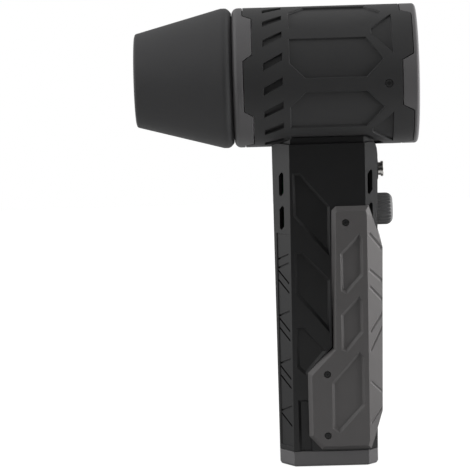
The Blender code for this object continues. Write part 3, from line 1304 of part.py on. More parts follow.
def make_base_cap():
    section = handle_section(CAP_HEIGHT)
    rings = []
    for height, inset in CAP_EDGE:
        rings.append([(x, y, height) for x, y in grown(section, -inset)])
    rings.append([(x, y, CAP_HEIGHT) for x, y in section])
    cap = loft("base_cap", rings, grey_paint)
    inside = [[(x, y, z) for x, y in grown(section, -CAP_WALL)]
              for z in (CAP_FLOOR, CAP_HEIGHT + PAST)]
    cut(cap, loft("cap_inside", inside))
    for x, y in BASE_SCREWS:
        for side in (-1, 1):
            fuse(cap, peg("cap_pillar", (x, side * y, CAP_FLOOR / 2), (x, side * y, CAP_HEIGHT),
                          BOSS_RADIUS))
            cut(cap, stepped_hole("base_screw_hole", (x, side * y, CAP_HEIGHT + PAST),
                                  (x, side * y, BASE_SCREW_SEAT), (x, side * y, -PAST)))
    grow = USB_OPENING_CLEARANCE
    outline = stadium(USB_WIDTH + 2 * grow, USB_HEIGHT + 2 * grow)
    face_x = at_height(HANDLE_REAR_X, CAP_HEIGHT)
    cut(cap, plate("usb_opening", [outline], 4 * CAP_WALL, facing_rear(face_x, USB_Z)))
    return finish(cap, 30)


BASE_SCREW_SEAT = SCREW_SINK + SCREW_HEAD_HEIGHT + GAP
CHARGE_BOARD_Z = CAP_FLOOR + GAP
USB_Z = CHARGE_BOARD_Z + CHARGE_BOARD[3] + GAP + USB_HEIGHT / 2


def facing_rear(x, z):
    """Lays an outline's X along Y and its Y up, facing +X."""
    return Matrix.Translation((x, 0.0, z)) @ Matrix(((0, 0, 1, 0), (1, 0, 0, 0), (0, 1, 0, 0),
                                                     (0, 0, 0, 1)))


def stadium(width, height):
    """A slot outline with half-round ends."""
    radius = height / 2
    middle = width / 2 - radius
    points = []
    for side, start in ((1, -math.pi / 2), (-1, math.pi / 2)):
        for i in range(7):
            angle = start + i / 6 * math.pi
            points.append((side * middle + radius * math.cos(angle), radius * math.sin(angle)))
    return points


def make_grip_screws():
    face = HANDLE_HALF_Y + COVER_PROUD
    for side, hand in ((-1, "left"), (1, "right")):
        for i, (x, z) in enumerate(GRIP_SCREWS):
            seat = (x, side * (face - SCREW_SINK - SCREW_HEAD_HEIGHT), z)
            screw(f"grip_screw_{hand}_{i + 1}", seat, (0.0, -side, 0.0), GRIP_SCREW_LENGTH,
                  dark_steel)


def make_base_screws():
    number = 0
    for x, y in BASE_SCREWS:
        for side in (-1, 1):
            number += 1
            seat = (x, side * y, BASE_SCREW_SEAT - GAP)
            screw(f"base_screw_{number}", seat, (0.0, 0.0, 1.0), BASE_SCREW_LENGTH, dark_steel)


def make_saddle():
    top = SHELL_TOP_Z - PAST
    saddle = handle_core("saddle_bracket", -HANDLE_WALL - GAP, SADDLE_BOTTOM_Z, top, aluminium)
    cut(saddle, barrel_clearance(GAP), wire_passage())
    cut(saddle, box("saddle_rear", (SADDLE_REAR_X, -HANDLE_HALF_Y, SADDLE_BOTTOM_Z - PAST),
                    (HANDLE_REAR_X[1], HANDLE_HALF_Y, top + PAST)))
    for x, y in SADDLE_SCREWS:
        cut(saddle, saddle_screw_hole(x, y))
    front, rear = BOARD_X
    half = BOARD_THICKNESS / 2 + GAP
    cut(saddle, box("board_slot", (front - GAP, -half, SADDLE_BOTTOM_Z - PAST),
                    (rear + GAP, half, SADDLE_BOTTOM_Z + BOARD_SLOT_DEPTH)))
    finish(saddle, 25)
    length = AXIS_Z - DUCT_RADIUS + SADDLE_SCREW_BITE - SADDLE_BOTTOM_Z
    for i, (x, y) in enumerate(SADDLE_SCREWS):
        screw(f"saddle_screw_{i + 1}", (x, y, SADDLE_BOTTOM_Z - GAP), (0.0, 0.0, 1.0), length, steel)


# ---- Controls ------------------------------------------------------------------------------

KNOB_BASE_X = rear_x(KNOB_Z) + KNOB_STAND_OFF
KNOB_END_X = KNOB_BASE_X + KNOB_LENGTH
NUT_BASE_X = rear_x(KNOB_Z) + LEAN_CLEARANCE + GAP
BUSHING_END_X = NUT_BASE_X + NUT_HEIGHT + BUSHING_PROUD
POT_FRONT_X = INNER_REAR_AT_KNOB - LEAN_CLEARANCE - GAP
NUT_RECESS_RADIUS = NUT_ACROSS_FLATS / 2 / math.cos(math.pi / 6) + SLIDE_GAP


def make_knob():
    end = KNOB_END_X
    recess = BUSHING_END_X + SLIDE_GAP
    bore = POT_SHAFT_RADIUS + GAP
    profile = [(end, 0.0)]
    for i in range(KNOB_STEPS + 1):
        turn = i / KNOB_STEPS * math.pi / 2
        profile.append((end - KNOB_ROUNDING * (1 - math.cos(turn)),
                        KNOB_RADIUS - KNOB_ROUNDING * (1 - math.sin(turn))))
    profile += [(KNOB_BASE_X, KNOB_RADIUS), (KNOB_BASE_X, NUT_RECESS_RADIUS),
                (recess, NUT_RECESS_RADIUS), (recess, bore), (end - KNOB_END_WALL, bore),
                (end - KNOB_END_WALL, 0.0)]
    knob = turned("speed_knob", profile, 2 * KNOB_RIDGES, grey_ridge, along_x(z=KNOB_Z))
    # Every second column of the outside is pulled in, which leaves the ridges standing.
    pitch = math.pi / KNOB_RIDGES
    flute_start = (KNOB_RADIUS + NUT_RECESS_RADIUS) / 2
    for vert in knob.data.vertices:
        y, z = vert.co.y, vert.co.z - KNOB_Z
        radius = math.hypot(y, z)
        column = round(math.atan2(z, y) / pitch - 0.5)
        if radius > flute_start and column % 2:
            share = (radius - KNOB_FLUTE_DEPTH) / radius
            vert.co.y = y * share
            vert.co.z = KNOB_Z + z * share
    knob.data.transform(Matrix.Translation((-KNOB_BASE_X, 0.0, -KNOB_Z)))
    knob.location = (KNOB_BASE_X, 0.0, KNOB_Z)
    return knob


def make_potentiometer():
    bore = POT_SHAFT_RADIUS + GAP
    rear = POT_FRONT_X - POT_LENGTH
    floor = rear + POT_FLOOR
    profile = ((BUSHING_END_X, POT_BUSHING_RADIUS), (POT_FRONT_X, POT_BUSHING_RADIUS),
               (POT_FRONT_X, POT_RADIUS), (rear, POT_RADIUS), (rear, 0.0), (floor, 0.0),
               (floor, bore), (BUSHING_END_X, bore))
    turned_closed("speed_potentiometer", profile, CONTROL_STEPS, holder_plastic,
                  along_x(z=KNOB_Z))
    shaft_end = KNOB_END_X - KNOB_END_WALL - GAP
    peg("potentiometer_shaft", (floor + GAP, 0.0, KNOB_Z), (shaft_end, 0.0, KNOB_Z),
        POT_SHAFT_RADIUS, CONTROL_STEPS, aluminium)
    corner = NUT_ACROSS_FLATS / 2 / math.cos(math.pi / 6)
    hole = ring_points(CONTROL_HOLE_STEPS, POT_BUSHING_RADIUS + GAP)
    middle = along_x(NUT_BASE_X + NUT_HEIGHT / 2, 0.0, KNOB_Z)
    plate("potentiometer_nut", [ring_points(6, corner), hole], NUT_HEIGHT, middle, steel)


def turned_closed(name, profile, steps, material, matrix):
    """A turned piece whose profile crosses to the axis in the middle of its run."""
    axis = [i for i, (height, radius) in enumerate(profile) if radius == 0.0]
    start = axis[-1]
    ordered = profile[start:] + profile[:start]
    return turned(name, ordered, steps, material, matrix)


def make_button():
    flange_x = BUTTON_BOSS_X + GAP
    rear = flange_x - BUSHING_LENGTH
    bore = PLUNGER_RADIUS + GAP
    end = flange_x + BUTTON_FLANGE
    edge = BUTTON_FLANGE_EDGE
    profile = ((end, bore), (end, BUTTON_FLANGE_RADIUS - edge), (end - edge, BUTTON_FLANGE_RADIUS),
               (flange_x, BUTTON_FLANGE_RADIUS), (flange_x, BUSHING_RADIUS), (rear, BUSHING_RADIUS),
               (rear, bore))
    turned("button_bezel", profile, CONTROL_STEPS, chrome, along_x(z=BUTTON_Z))
    top = end + PLUNGER_PROUD
    bottom = top - PLUNGER_LENGTH
    length, edge = PLUNGER_LENGTH, PLUNGER_EDGE
    plunger = ((length, 0.0), (length, PLUNGER_RADIUS - edge), (length - edge, PLUNGER_RADIUS),
               (0.0, PLUNGER_RADIUS), (0.0, 0.0))
    turned("power_button", plunger, CONTROL_STEPS, chrome, along_x(bottom, 0.0, BUTTON_Z))
    back = rear_x(BUTTON_Z) - HANDLE_WALL - SWITCH_SPACE
    bottom = KNOB_Z + POT_RADIUS + SWITCH_LIFT
    switch = box("switch_body", (back - SWITCH_LENGTH, -SWITCH_HALF_Y, bottom),
                 (back, SWITCH_HALF_Y, BUTTON_Z + SWITCH_ABOVE), holder_plastic)
    cut(switch, peg("switch_bore", (rear - GAP, 0.0, BUTTON_Z), (back + PAST, 0.0, BUTTON_Z),
                    BUSHING_RADIUS + GAP, CONTROL_STEPS))
    finish(switch)


# ---- Battery and electronics ---------------------------------------------------------------

CELL_PLACES = [(sx * CELL_PITCH_X / 2, sy * CELL_PITCH_Y / 2) for sx in (-1, 1) for sy in (-1, 1)]
HOLDER_BOTTOM_Z = BASE_BOSS_TOP_Z + GAP
LOWER_BAR_Z = HOLDER_BOTTOM_Z + HOLDER_FLOOR + GAP
CELL_BOTTOM_Z = LOWER_BAR_Z + BUS_BAR_THICKNESS + GAP
CELL_TOP_Z = CELL_BOTTOM_Z + CELL_LENGTH
UPPER_BAR_Z = CELL_TOP_Z + GAP
UPPER_FLOOR_Z = UPPER_BAR_Z + BUS_BAR_THICKNESS + GAP
UPPER_TOP_Z = UPPER_FLOOR_Z + UPPER_HOLDER_TOP


def make_holder(name, bottom, top, bar_floor, opens_up):
    holder = handle_core(name, -HANDLE_WALL - GAP, bottom, top, holder_plastic)
    half = BUS_BAR_HALF + GAP
    reach = BUS_BAR_THICKNESS + 3 * GAP
    low, high = (bar_floor, bar_floor + reach) if opens_up else (bar_floor - reach, bar_floor)
    cut(holder, box("bar_pocket", (-half, -half, low), (half, half, high)))
    for x, y in CELL_PLACES:
        start = CELL_BOTTOM_Z - GAP / 2 if opens_up else bottom - PAST
        end = top + PAST if opens_up else CELL_TOP_Z + GAP / 2
        cut(holder, peg("cell_pocket", (x, y, start), (x, y, end), CELL_RADIUS + GAP, CELL_STEPS))
    return holder


def make_battery():
    lower = make_holder("cell_holder_lower", HOLDER_BOTTOM_Z, HOLDER_BOTTOM_Z + HOLDER_DEPTH,
                        HOLDER_BOTTOM_Z + HOLDER_FLOOR, True)
    finish(lower, 25)
    upper = make_holder("cell_holder_upper", UPPER_FLOOR_Z - HOLDER_DEPTH, UPPER_TOP_Z,
                        UPPER_FLOOR_Z, False)
    front, rear = BOARD_X
    half = BOARD_THICKNESS / 2 + GAP
    cut(upper, box("board_slot", (front - GAP, -half, UPPER_TOP_Z - BOARD_SLOT_DEPTH),
                   (rear + GAP, half, UPPER_TOP_Z + PAST)))
    finish(upper, 25)
    for i, (x, y) in enumerate(CELL_PLACES):
        peg(f"battery_cell_{i + 1}", (x, y, CELL_BOTTOM_Z), (x, y, CELL_TOP_Z), CELL_RADIUS,
            CELL_STEPS, cell_wrap)
    half = BUS_BAR_HALF
    for name, z in (("bus_bar_lower", LOWER_BAR_Z), ("bus_bar_upper", UPPER_BAR_Z)):
        box(name, (-half, -half, z), (half, half, z + BUS_BAR_THICKNESS), steel)


def make_electronics():
    front, rear = BOARD_X
    half = BOARD_THICKNESS / 2
    bottom = UPPER_TOP_Z - BOARD_SLOT_DEPTH + GAP
    top = SADDLE_BOTTOM_Z + BOARD_SLOT_DEPTH - GAP
    box("control_board", (front, -half, bottom), (rear, half, top), board_green)
    x = CAPACITOR_PLACE[0]
    z = HANDLE_TOP_Z - CAPACITOR_PLACE[1]
    y = -half - GAP - CAPACITOR_RADIUS
    peg("capacitor", (x, y, z - CAPACITOR_LENGTH / 2), (x, y, z + CAPACITOR_LENGTH / 2),
        CAPACITOR_RADIUS, CELL_STEPS, capacitor_sleeve)

    # The heat sink is a comb outline: a base with fins that stand away from the board.
    start, end = SINK_X
    base = half + GAP
    pitch = (end - start) / (2 * SINK_FINS - 1)
    outline = [(start, base), (end, base)]
    for i in reversed(range(SINK_FINS)):
        left = start + 2 * i * pitch
        outline += [(left + pitch, base + SINK_HEIGHT), (left, base + SINK_HEIGHT)]
        if i:
            outline += [(left, base + SINK_BASE), (left - pitch, base + SINK_BASE)]
    low = UPPER_TOP_Z + SINK_LIFT
    high = low + SINK_LENGTH
    plate("heat_sink", [outline], high - low, Matrix.Translation((0.0, 0.0, (low + high) / 2)),
          aluminium)

    front, rear, half, thickness = CHARGE_BOARD
    box("charge_board", (front, -half, CHARGE_BOARD_Z), (rear, half, CHARGE_BOARD_Z + thickness),
        board_green)
    face_x = at_height(HANDLE_REAR_X, CAP_HEIGHT) - USB_SINK
    middle = face_x - USB_DEPTH / 2
    outline = stadium(USB_WIDTH, USB_HEIGHT)
    socket = plate("usb_c_socket", [outline], USB_DEPTH, facing_rear(middle, USB_Z), steel)
    hollow = stadium(USB_WIDTH - 2 * USB_SHELL_WALL, USB_HEIGHT - 2 * USB_SHELL_WALL)
    cut(socket, plate("socket_hollow", [hollow], USB_DEPTH, facing_rear(middle + USB_BACK, USB_Z)))
    finish(socket, 30)


make_sleeve()
make_front_bezel()
make_rear_bezel()
make_nozzle()
make_duct()
make_impeller()
make_spinner()
make_tail_cone()
make_motor()
make_grille()
make_seals()
make_barrel_screws()
make_handle_shells()
make_cover()
make_base_cap()
make_grip_screws()
make_base_screws()
make_saddle()
make_knob()
make_potentiometer()
make_button()
make_battery()
make_electronics()
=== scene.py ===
# Looks of the cordless car dryer blower: bevelled pieces and finishes round the CAD frame.
import math

import bpy
from mathutils import Matrix, Vector


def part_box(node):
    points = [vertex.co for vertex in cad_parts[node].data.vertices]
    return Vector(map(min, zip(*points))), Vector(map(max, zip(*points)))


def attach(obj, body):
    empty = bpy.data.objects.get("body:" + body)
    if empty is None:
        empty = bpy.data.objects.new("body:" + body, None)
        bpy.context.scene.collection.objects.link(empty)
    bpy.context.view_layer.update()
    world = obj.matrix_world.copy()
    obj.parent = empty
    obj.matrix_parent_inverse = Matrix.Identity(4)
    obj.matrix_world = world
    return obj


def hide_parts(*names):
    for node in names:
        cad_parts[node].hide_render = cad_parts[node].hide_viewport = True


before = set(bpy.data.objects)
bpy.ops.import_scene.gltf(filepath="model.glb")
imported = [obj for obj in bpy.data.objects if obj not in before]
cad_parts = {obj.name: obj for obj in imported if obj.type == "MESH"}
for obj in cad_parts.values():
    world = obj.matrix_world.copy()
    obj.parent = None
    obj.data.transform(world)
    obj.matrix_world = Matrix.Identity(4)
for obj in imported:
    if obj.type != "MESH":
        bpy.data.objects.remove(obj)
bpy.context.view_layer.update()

gap = 0.0003            # between pieces that rest against each other
past = 0.001            # how far a cutting shape runs past the face it opens
hair = 0.0001           # keeps two faces from lying in one another
weldReach = 0.000002    # corners closer than this become one
cutReach = 0.000001     # corners closer than this to a cutting plane lie on it
quarterTurns = [math.radians(angle) for angle in (-90, 0, 90, 180, 270)]


# Working steps

def only(piece):
    if bpy.context.mode != "OBJECT":
        bpy.ops.object.mode_set(mode="OBJECT")
    bpy.ops.object.select_all(action="DESELECT")
    if piece:
        piece.select_set(True)
        bpy.context.view_layer.objects.active = piece


def editAll(piece):
    only(piece)
    bpy.ops.object.mode_set(mode="EDIT")
    bpy.ops.mesh.select_mode(type="VERT")
    bpy.ops.mesh.select_all(action="SELECT")


def newPiece(name):
    piece = bpy.context.object
    piece.name = name
    piece.data.name = name
    return piece


def settle(piece, matrix=None):
    if matrix is not None:
        piece.matrix_world = matrix @ piece.matrix_world
    only(piece)
    bpy.ops.object.transform_apply(location=True, rotation=True, scale=True)
    return piece


def modify(piece, kind, **settings):
    only(piece)
    modifier = piece.modifiers.new(kind.lower(), kind)
    for setting, value in settings.items():
        setattr(modifier, setting, value)
    bpy.ops.object.modifier_apply(modifier=modifier.name)
    return piece


def closeUp(piece):
    editAll(piece)
    bpy.ops.mesh.remove_doubles(threshold=weldReach)
    bpy.ops.mesh.normals_make_consistent(inside=False)
    bpy.ops.object.mode_set(mode="OBJECT")
    return piece


def joined(name, pieces):
    only(pieces[0])
    for piece in pieces:
        piece.select_set(True)
    bpy.ops.object.join()
    return newPiece(name)


def copied(piece, matrix):
    copy = piece.copy()
    copy.data = piece.data.copy()
    bpy.context.collection.objects.link(copy)
    return settle(copy, matrix)


def carve(piece, cutters, operation="DIFFERENCE"):
    cutter = joined("cutter", cutters) if len(cutters) > 1 else cutters[0]
    modify(piece, "BOOLEAN", object=cutter, operation=operation, solver="EXACT")
    bpy.data.objects.remove(cutter, do_unlink=True)
    return piece


def roundEdges(piece, width, segments=2, sharp=30.0):
    return modify(piece, "BEVEL", width=width, segments=segments, limit_method="ANGLE",
                  angle_limit=math.radians(sharp), use_clamp_overlap=True)


def smooth(piece, angle=35.0, weighted=True):
    only(piece)
    bpy.ops.object.shade_smooth_by_angle(angle=math.radians(angle), keep_sharp_edges=False)
    if weighted:
        modify(piece, "WEIGHTED_NORMAL", mode="FACE_AREA_WITH_ANGLE", keep_sharp=True)
    return piece


def standFor(piece, nodeName, body, slot, look=None):
    piece.data.materials.clear()
    piece.data.materials.append(finishes[look or slot])
    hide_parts(nodeName)
    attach(piece, body)


# Forms that are used again and again

def ringSolid(name, rings):
    # A cylinder with a cut for each further ring, its corners then moved to the rings' points
    corners = len(rings[0])
    only(None)
    bpy.ops.mesh.primitive_cylinder_add(vertices=corners, radius=1.0, depth=1.0,
                                        location=(0.0, 0.0, 0.5))
    piece = settle(newPiece(name))
    for face in piece.data.polygons:
        face.select = face.center.z > 0.9       # the top alone
    bpy.ops.object.mode_set(mode="EDIT")
    bpy.ops.mesh.select_mode(type="FACE")
    for _ in rings[2:]:
        bpy.ops.mesh.extrude_region_move(TRANSFORM_OT_translate={"value": (0.0, 0.0, 1.0)})
    bpy.ops.object.mode_set(mode="OBJECT")
    first = piece.data.vertices[0].co
    start = math.atan2(first.y, first.x)
    for vertex in piece.data.vertices:
        turn = math.atan2(vertex.co.y, vertex.co.x) - start
        corner = round(turn / math.tau * corners) % corners
        vertex.co = rings[round(vertex.co.z)][corner]
    return closeUp(piece)


def turnedSolid(name, profile, steps, matrix):
    # One point, drawn out along the profile of (height, radius) and spun round the Z axis
    only(None)
    bpy.ops.mesh.primitive_plane_add(size=0.01)
    piece = newPiece(name)
    editAll(piece)
    bpy.ops.mesh.merge(type="CENTER")
    height, radius = profile[0]
    bpy.ops.transform.translate(value=(radius, 0.0, height))
    for nextHeight, nextRadius in profile[1:]:
        move = (nextRadius - radius, 0.0, nextHeight - height)
        bpy.ops.mesh.extrude_vertices_move(TRANSFORM_OT_translate={"value": move})
        height, radius = nextHeight, nextRadius
    bpy.ops.mesh.select_all(action="SELECT")
    bpy.ops.mesh.spin(steps=steps, angle=math.tau, center=(0.0, 0.0, 0.0), axis=(0.0, 0.0, 1.0))
    return settle(closeUp(piece), matrix)


def grown(outline, distance):
    # An outline moved outwards by a distance, its corners kept sharp
    area = sum(a[0] * b[1] - b[0] * a[1] for a, b in zip(outline, outline[1:] + outline[:1]))
    hand = math.copysign(1.0, area)
    points = [Vector(point) for point in outline]
    moved = []
    for i, here in enumerate(points):
        first = (here - points[i - 1]).normalized()
        second = (points[(i + 1) % len(points)] - here).normalized()
        normals = Vector((first.y + second.y, -first.x - second.x)) * hand
        moved.append(here + normals * distance / (1.0 + first.dot(second)))
    return moved


def pocket(outline, depth, slope, matrix):
    # A cutting shape whose walls slope in by so much at its floor
    top = grown(outline, slope * past / depth)
    floor = grown(outline, -slope)
    solid = ringSolid("cutter", [[(x, y, -depth) for x, y in floor],
                                 [(x, y, past) for x, y in top]])
    return settle(solid, matrix)


def stroke(start, end, width, depth, matrix, slant=0.2):
    start, end = Vector(start), Vector(end)
    way = (end - start).normalized() * width / 2
    side = Vector((-way.y, way.x))
    corners = [start - side, end - side, end + side, start + side]
    return pocket([tuple(point) for point in corners], depth, width * slant, matrix)


def arcPoints(centre, radius, startTurn, endTurn, count):
    points = []
    for i in range(count + 1):
        turn = math.radians(startTurn + (endTurn - startTurn) * i / count)
        points.append((centre[0] + radius * math.cos(turn), centre[1] + radius * math.sin(turn)))
    return points


# Places from the frame

def middleOf(nodeName):
    return [(low + high) / 2 for low, high in zip(*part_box(nodeName))]


def endsX(nodeName):
    return [corner[0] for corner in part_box(nodeName)]


axisZ = middleOf("motor_shaft")[2]
flatsShare = math.cos(math.pi / 32)          # the frame's barrel has 32 flats
barrelRadius = (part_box("barrel_sleeve")[1][2] - axisZ) / flatsShare - hair
sleeveFrontX, sleeveRearX = endsX("barrel_sleeve")
print("frame read: barrel radius", round(barrelRadius * 1000, 2), "mm")


def alongX(x=0.0, z=axisZ):
    return Matrix.Translation((x, 0.0, z)) @ Matrix.Rotation(math.pi / 2, 4, "Y")


# Barrel: sleeve and rings are made as flat strips, then bent round

barrel = dict(wall=0.0022, frontTab=0.0047, rearTab=0.0057, tabTip=21.0, tabRoot=26.0,
              notchTurn=45.0, strips=168, margin=0.004)
stripLength = math.tau * barrelRadius


def arcPlace(angle, across):
    # Where a point beside an angle comes to lie along the strip; the top is at 0
    return (math.pi / 2 - angle - math.asin(across / barrelRadius)) * barrelRadius


def throughStrip(outline, angle, near, far, slope=0.0):
    # A cutting shape through the strip, between two depths below its outer face
    flat = [(arcPlace(angle, across), x) for x, across in outline]
    top = [(s, near, x) for s, x in grown(flat, slope * (far - near))] if slope else \
        [(s, near, x) for s, x in flat]
    return ringSolid("cutter", [top, [(s, far, x) for s, x in flat]])


def strip(name, profile):
    half = stripLength / 2 + barrel["margin"]
    return ringSolid(name, [[(s, depth, x) for x, depth in profile] for s in (-half, half)])


def bendRound(piece):
    editAll(piece)
    for side in (-1, 1):
        bpy.ops.mesh.select_all(action="SELECT")
        bpy.ops.mesh.bisect(plane_co=(side * stripLength / 2, 0.0, 0.0), plane_no=(side, 0.0, 0.0),
                            clear_outer=True, threshold=cutReach)
    for i in range(1, barrel["strips"]):
        place = stripLength * (i / barrel["strips"] - 0.5)
        bpy.ops.mesh.select_all(action="SELECT")
        bpy.ops.mesh.bisect(plane_co=(place, 0.0, 0.0), plane_no=(1.0, 0.0, 0.0),
                            threshold=cutReach)
    bpy.ops.object.mode_set(mode="OBJECT")
    modify(piece, "SIMPLE_DEFORM", deform_method="BEND", deform_axis="Z", angle=math.tau)
    # The bend turns round a line that lies one radius below the strip
    upright = Matrix(((0, 0, 1, 0), (-1, 0, 0, 0), (0, -1, 0, 0), (0, 0, 0, 1)))
    settle(piece, Matrix.Translation((0.0, 0.0, axisZ)) @ upright
           @ Matrix.Translation((0.0, -barrelRadius, 0.0)))
    return closeUp(piece)


def tabOutline(tipX, rootX, grow):
    towardRoot = math.copysign(1.0, rootX - tipX)
    tipHalf = barrelRadius * math.sin(math.radians(barrel["tabTip"]))
    rootHalf = barrelRadius * math.sin(math.radians(barrel["tabRoot"]))
    flare = (rootHalf - tipHalf) / abs(rootX - tipX)
    start = tipX - towardRoot * grow
    end = rootX + towardRoot * past
    startHalf = tipHalf + grow - flare * grow
    endHalf = rootHalf + grow + flare * past
    return [(start, -startHalf), (end, -endHalf), (end, endHalf), (start, startHalf)]


def notchOutline(tipX, rootX):
    pastTip = tipX + math.copysign(past, tipX - rootX)
    rootHalf = barrelRadius * math.sin(math.radians(barrel["notchTurn"] - barrel["tabRoot"]))
    tipHalf = barrelRadius * math.sin(math.radians(barrel["notchTurn"] - barrel["tabTip"]))
    endHalf = tipHalf + (tipHalf - rootHalf) / abs(rootX - tipX) * past
    return [(rootX, -rootHalf), (pastTip, -endHalf), (pastTip, endHalf), (rootX, rootHalf)]


frontSeamX = sleeveFrontX + barrel["frontTab"]
rearSeamX = sleeveRearX - barrel["rearTab"]

sleeve = dict(recess=0.0011, recessSlope=0.25, slots=18, slotX=-0.0243, slotLength=0.0096,
              slotWidth=0.0036, slotRise=0.0050, slotDepth=0.0017, slotSlope=0.12,
              slotStart=-80.0, panelX=(-0.0155, 0.0238, 0.0324), panelHalf=0.0104,
              panelTip=0.0016, panelChamfer=0.0078, panelAngle=22.5, wedgeX=(0.0270, 0.0373),
              wedgeHalf=(0.0017, 0.0121), screwX=0.0352, screwHole=0.0021, screwDepth=0.0016,
              edge=0.0003)


def panelOutline(hand):
    front, shoulder, tip = sleeve["panelX"]
    half, chamfer = sleeve["panelHalf"], sleeve["panelChamfer"]
    points = [(front, half), (front, -half + chamfer), (front + chamfer, -half),
              (shoulder, -half), (tip, -sleeve["panelTip"]), (shoulder, half)]
    return [(x, across * hand) for x, across in points]


def makeSleeve():
    recess = (-past, sleeve["recess"], sleeve["recessSlope"])
    through = (-past, 2 * barrel["wall"])
    piece = strip("sleevePiece", [(sleeveFrontX, 0.0), (sleeveRearX, 0.0),
                                  (sleeveRearX, barrel["wall"]), (sleeveFrontX, barrel["wall"])])
    cutters = []
    half, length, rise = (sleeve[size] / 2 for size in ("slotWidth", "slotLength", "slotRise"))
    front, rear = sleeve["slotX"] - length, sleeve["slotX"] + length
    slot = [(front, -rise - half), (rear, rise - half), (rear, rise + half), (front, -rise + half)]
    turn = math.tau / sleeve["slots"]
    first = math.ceil(math.radians(sleeve["slotStart"]) / turn)
    for i in range(first, first + sleeve["slots"]):
        cutters.append(throughStrip(slot, turn * i, -past, sleeve["slotDepth"],
                                    sleeve["slotSlope"]))
    wedge = list(zip((*sleeve["wedgeX"], *reversed(sleeve["wedgeX"])),
                     (-sleeve["wedgeHalf"][0], -sleeve["wedgeHalf"][1],
                      sleeve["wedgeHalf"][1], sleeve["wedgeHalf"][0])))
    offset = math.radians(sleeve["panelAngle"])
    notch = notchOutline(sleeveFrontX, frontSeamX)
    for angle in quarterTurns[1:]:
        cutters.append(throughStrip(panelOutline(-1), angle - offset, *recess))
        cutters.append(throughStrip(wedge, angle - math.pi / 4, *recess))
        cutters.append(throughStrip(notch, angle - math.pi / 4, *through))
    for angle in quarterTurns[:4]:
        cutters.append(throughStrip(panelOutline(1), angle + offset, *recess))
    notch = notchOutline(sleeveRearX, rearSeamX)
    hole = [(sleeve["screwX"] + x, y)
            for x, y in arcPoints((0, 0), sleeve["screwHole"], 0, 345, 23)]
    for angle in quarterTurns:
        cutters.append(throughStrip(notch, angle, *through))
        cutters.append(throughStrip(hole, angle, -past, sleeve["screwDepth"]))
    carve(piece, cutters)
    roundEdges(piece, sleeve["edge"], 2)
    smooth(bendRound(piece))
    standFor(piece, "barrel_sleeve", "housing", "sleeve_black")


# Rings at both ends of the sleeve

rings = dict(frontStep=0.0033, web=0.0025, spigotLength=0.0075, spigotStep=0.0029,
             spigotWall=0.0017, rearLip=0.0018, rearRise=0.0020, rearRounding=0.0018, edge=0.0004)
frontRingX = endsX("nozzle")[1] + gap
rearRingX = endsX("rear_bezel")[1]
spigotDepth = barrel["wall"] + rings["spigotStep"]


def makeRing(name, nodeName, profile, tab, angles):
    piece = strip(name, profile)
    carve(piece, [throughStrip(tab, angle, -past, 2 * barrel["wall"]) for angle in angles])
    roundEdges(piece, rings["edge"], 3, 40)
    smooth(bendRound(piece))
    standFor(piece, nodeName, "housing", "housing_grey")


def makeFrontRing():
    step = rings["frontStep"]
    rearX = frontSeamX - gap
    spigotBore = spigotDepth + rings["spigotWall"]
    spigotX = frontRingX - rings["spigotLength"]
    profile = [(rearX, 0.0)]
    profile += arcPoints((frontRingX + step, step), step, 270, 180, 10)
    webX = frontRingX + rings["web"]
    profile += [(frontRingX, spigotDepth), (spigotX, spigotDepth), (spigotX, spigotBore),
                (webX, spigotBore), (webX, barrel["wall"]), (rearX, barrel["wall"])]
    makeRing("frontRing", "front_bezel", profile, tabOutline(sleeveFrontX, frontSeamX, gap),
             quarterTurns)


def makeRearRing():
    rounding = rings["rearRounding"]
    mouth = barrel["wall"] + rings["rearRise"]
    lipX = rearRingX - rings["rearLip"]
    frontX = rearSeamX + gap
    profile = [(rearRingX, mouth)]
    profile += arcPoints((rearRingX - rounding, rounding), rounding, 0, -90, 8)
    profile += [(frontX, 0.0), (frontX, barrel["wall"]), (lipX, barrel["wall"]), (lipX, mouth)]
    makeRing("rearRing", "rear_bezel", profile, tabOutline(sleeveRearX, rearSeamX, gap),
             [angle - math.pi / 4 for angle in quarterTurns[1:]])


# Nozzle: turned, with a rolled crest at its rear and a soft lip

nozzle = dict(mouthRadius=0.0245, wall=0.0028, lip=0.0015, lipCurve=((0.55, 0.12), (0.2, 0.42)),
              mouthEdge=0.0006, shoulder=0.0053, crestProud=0.0001, crest=0.0015,
              crestFall=(0.0005, 0.00005), rearProud=0.0008, throatRun=0.004, edge=0.0003, steps=144)


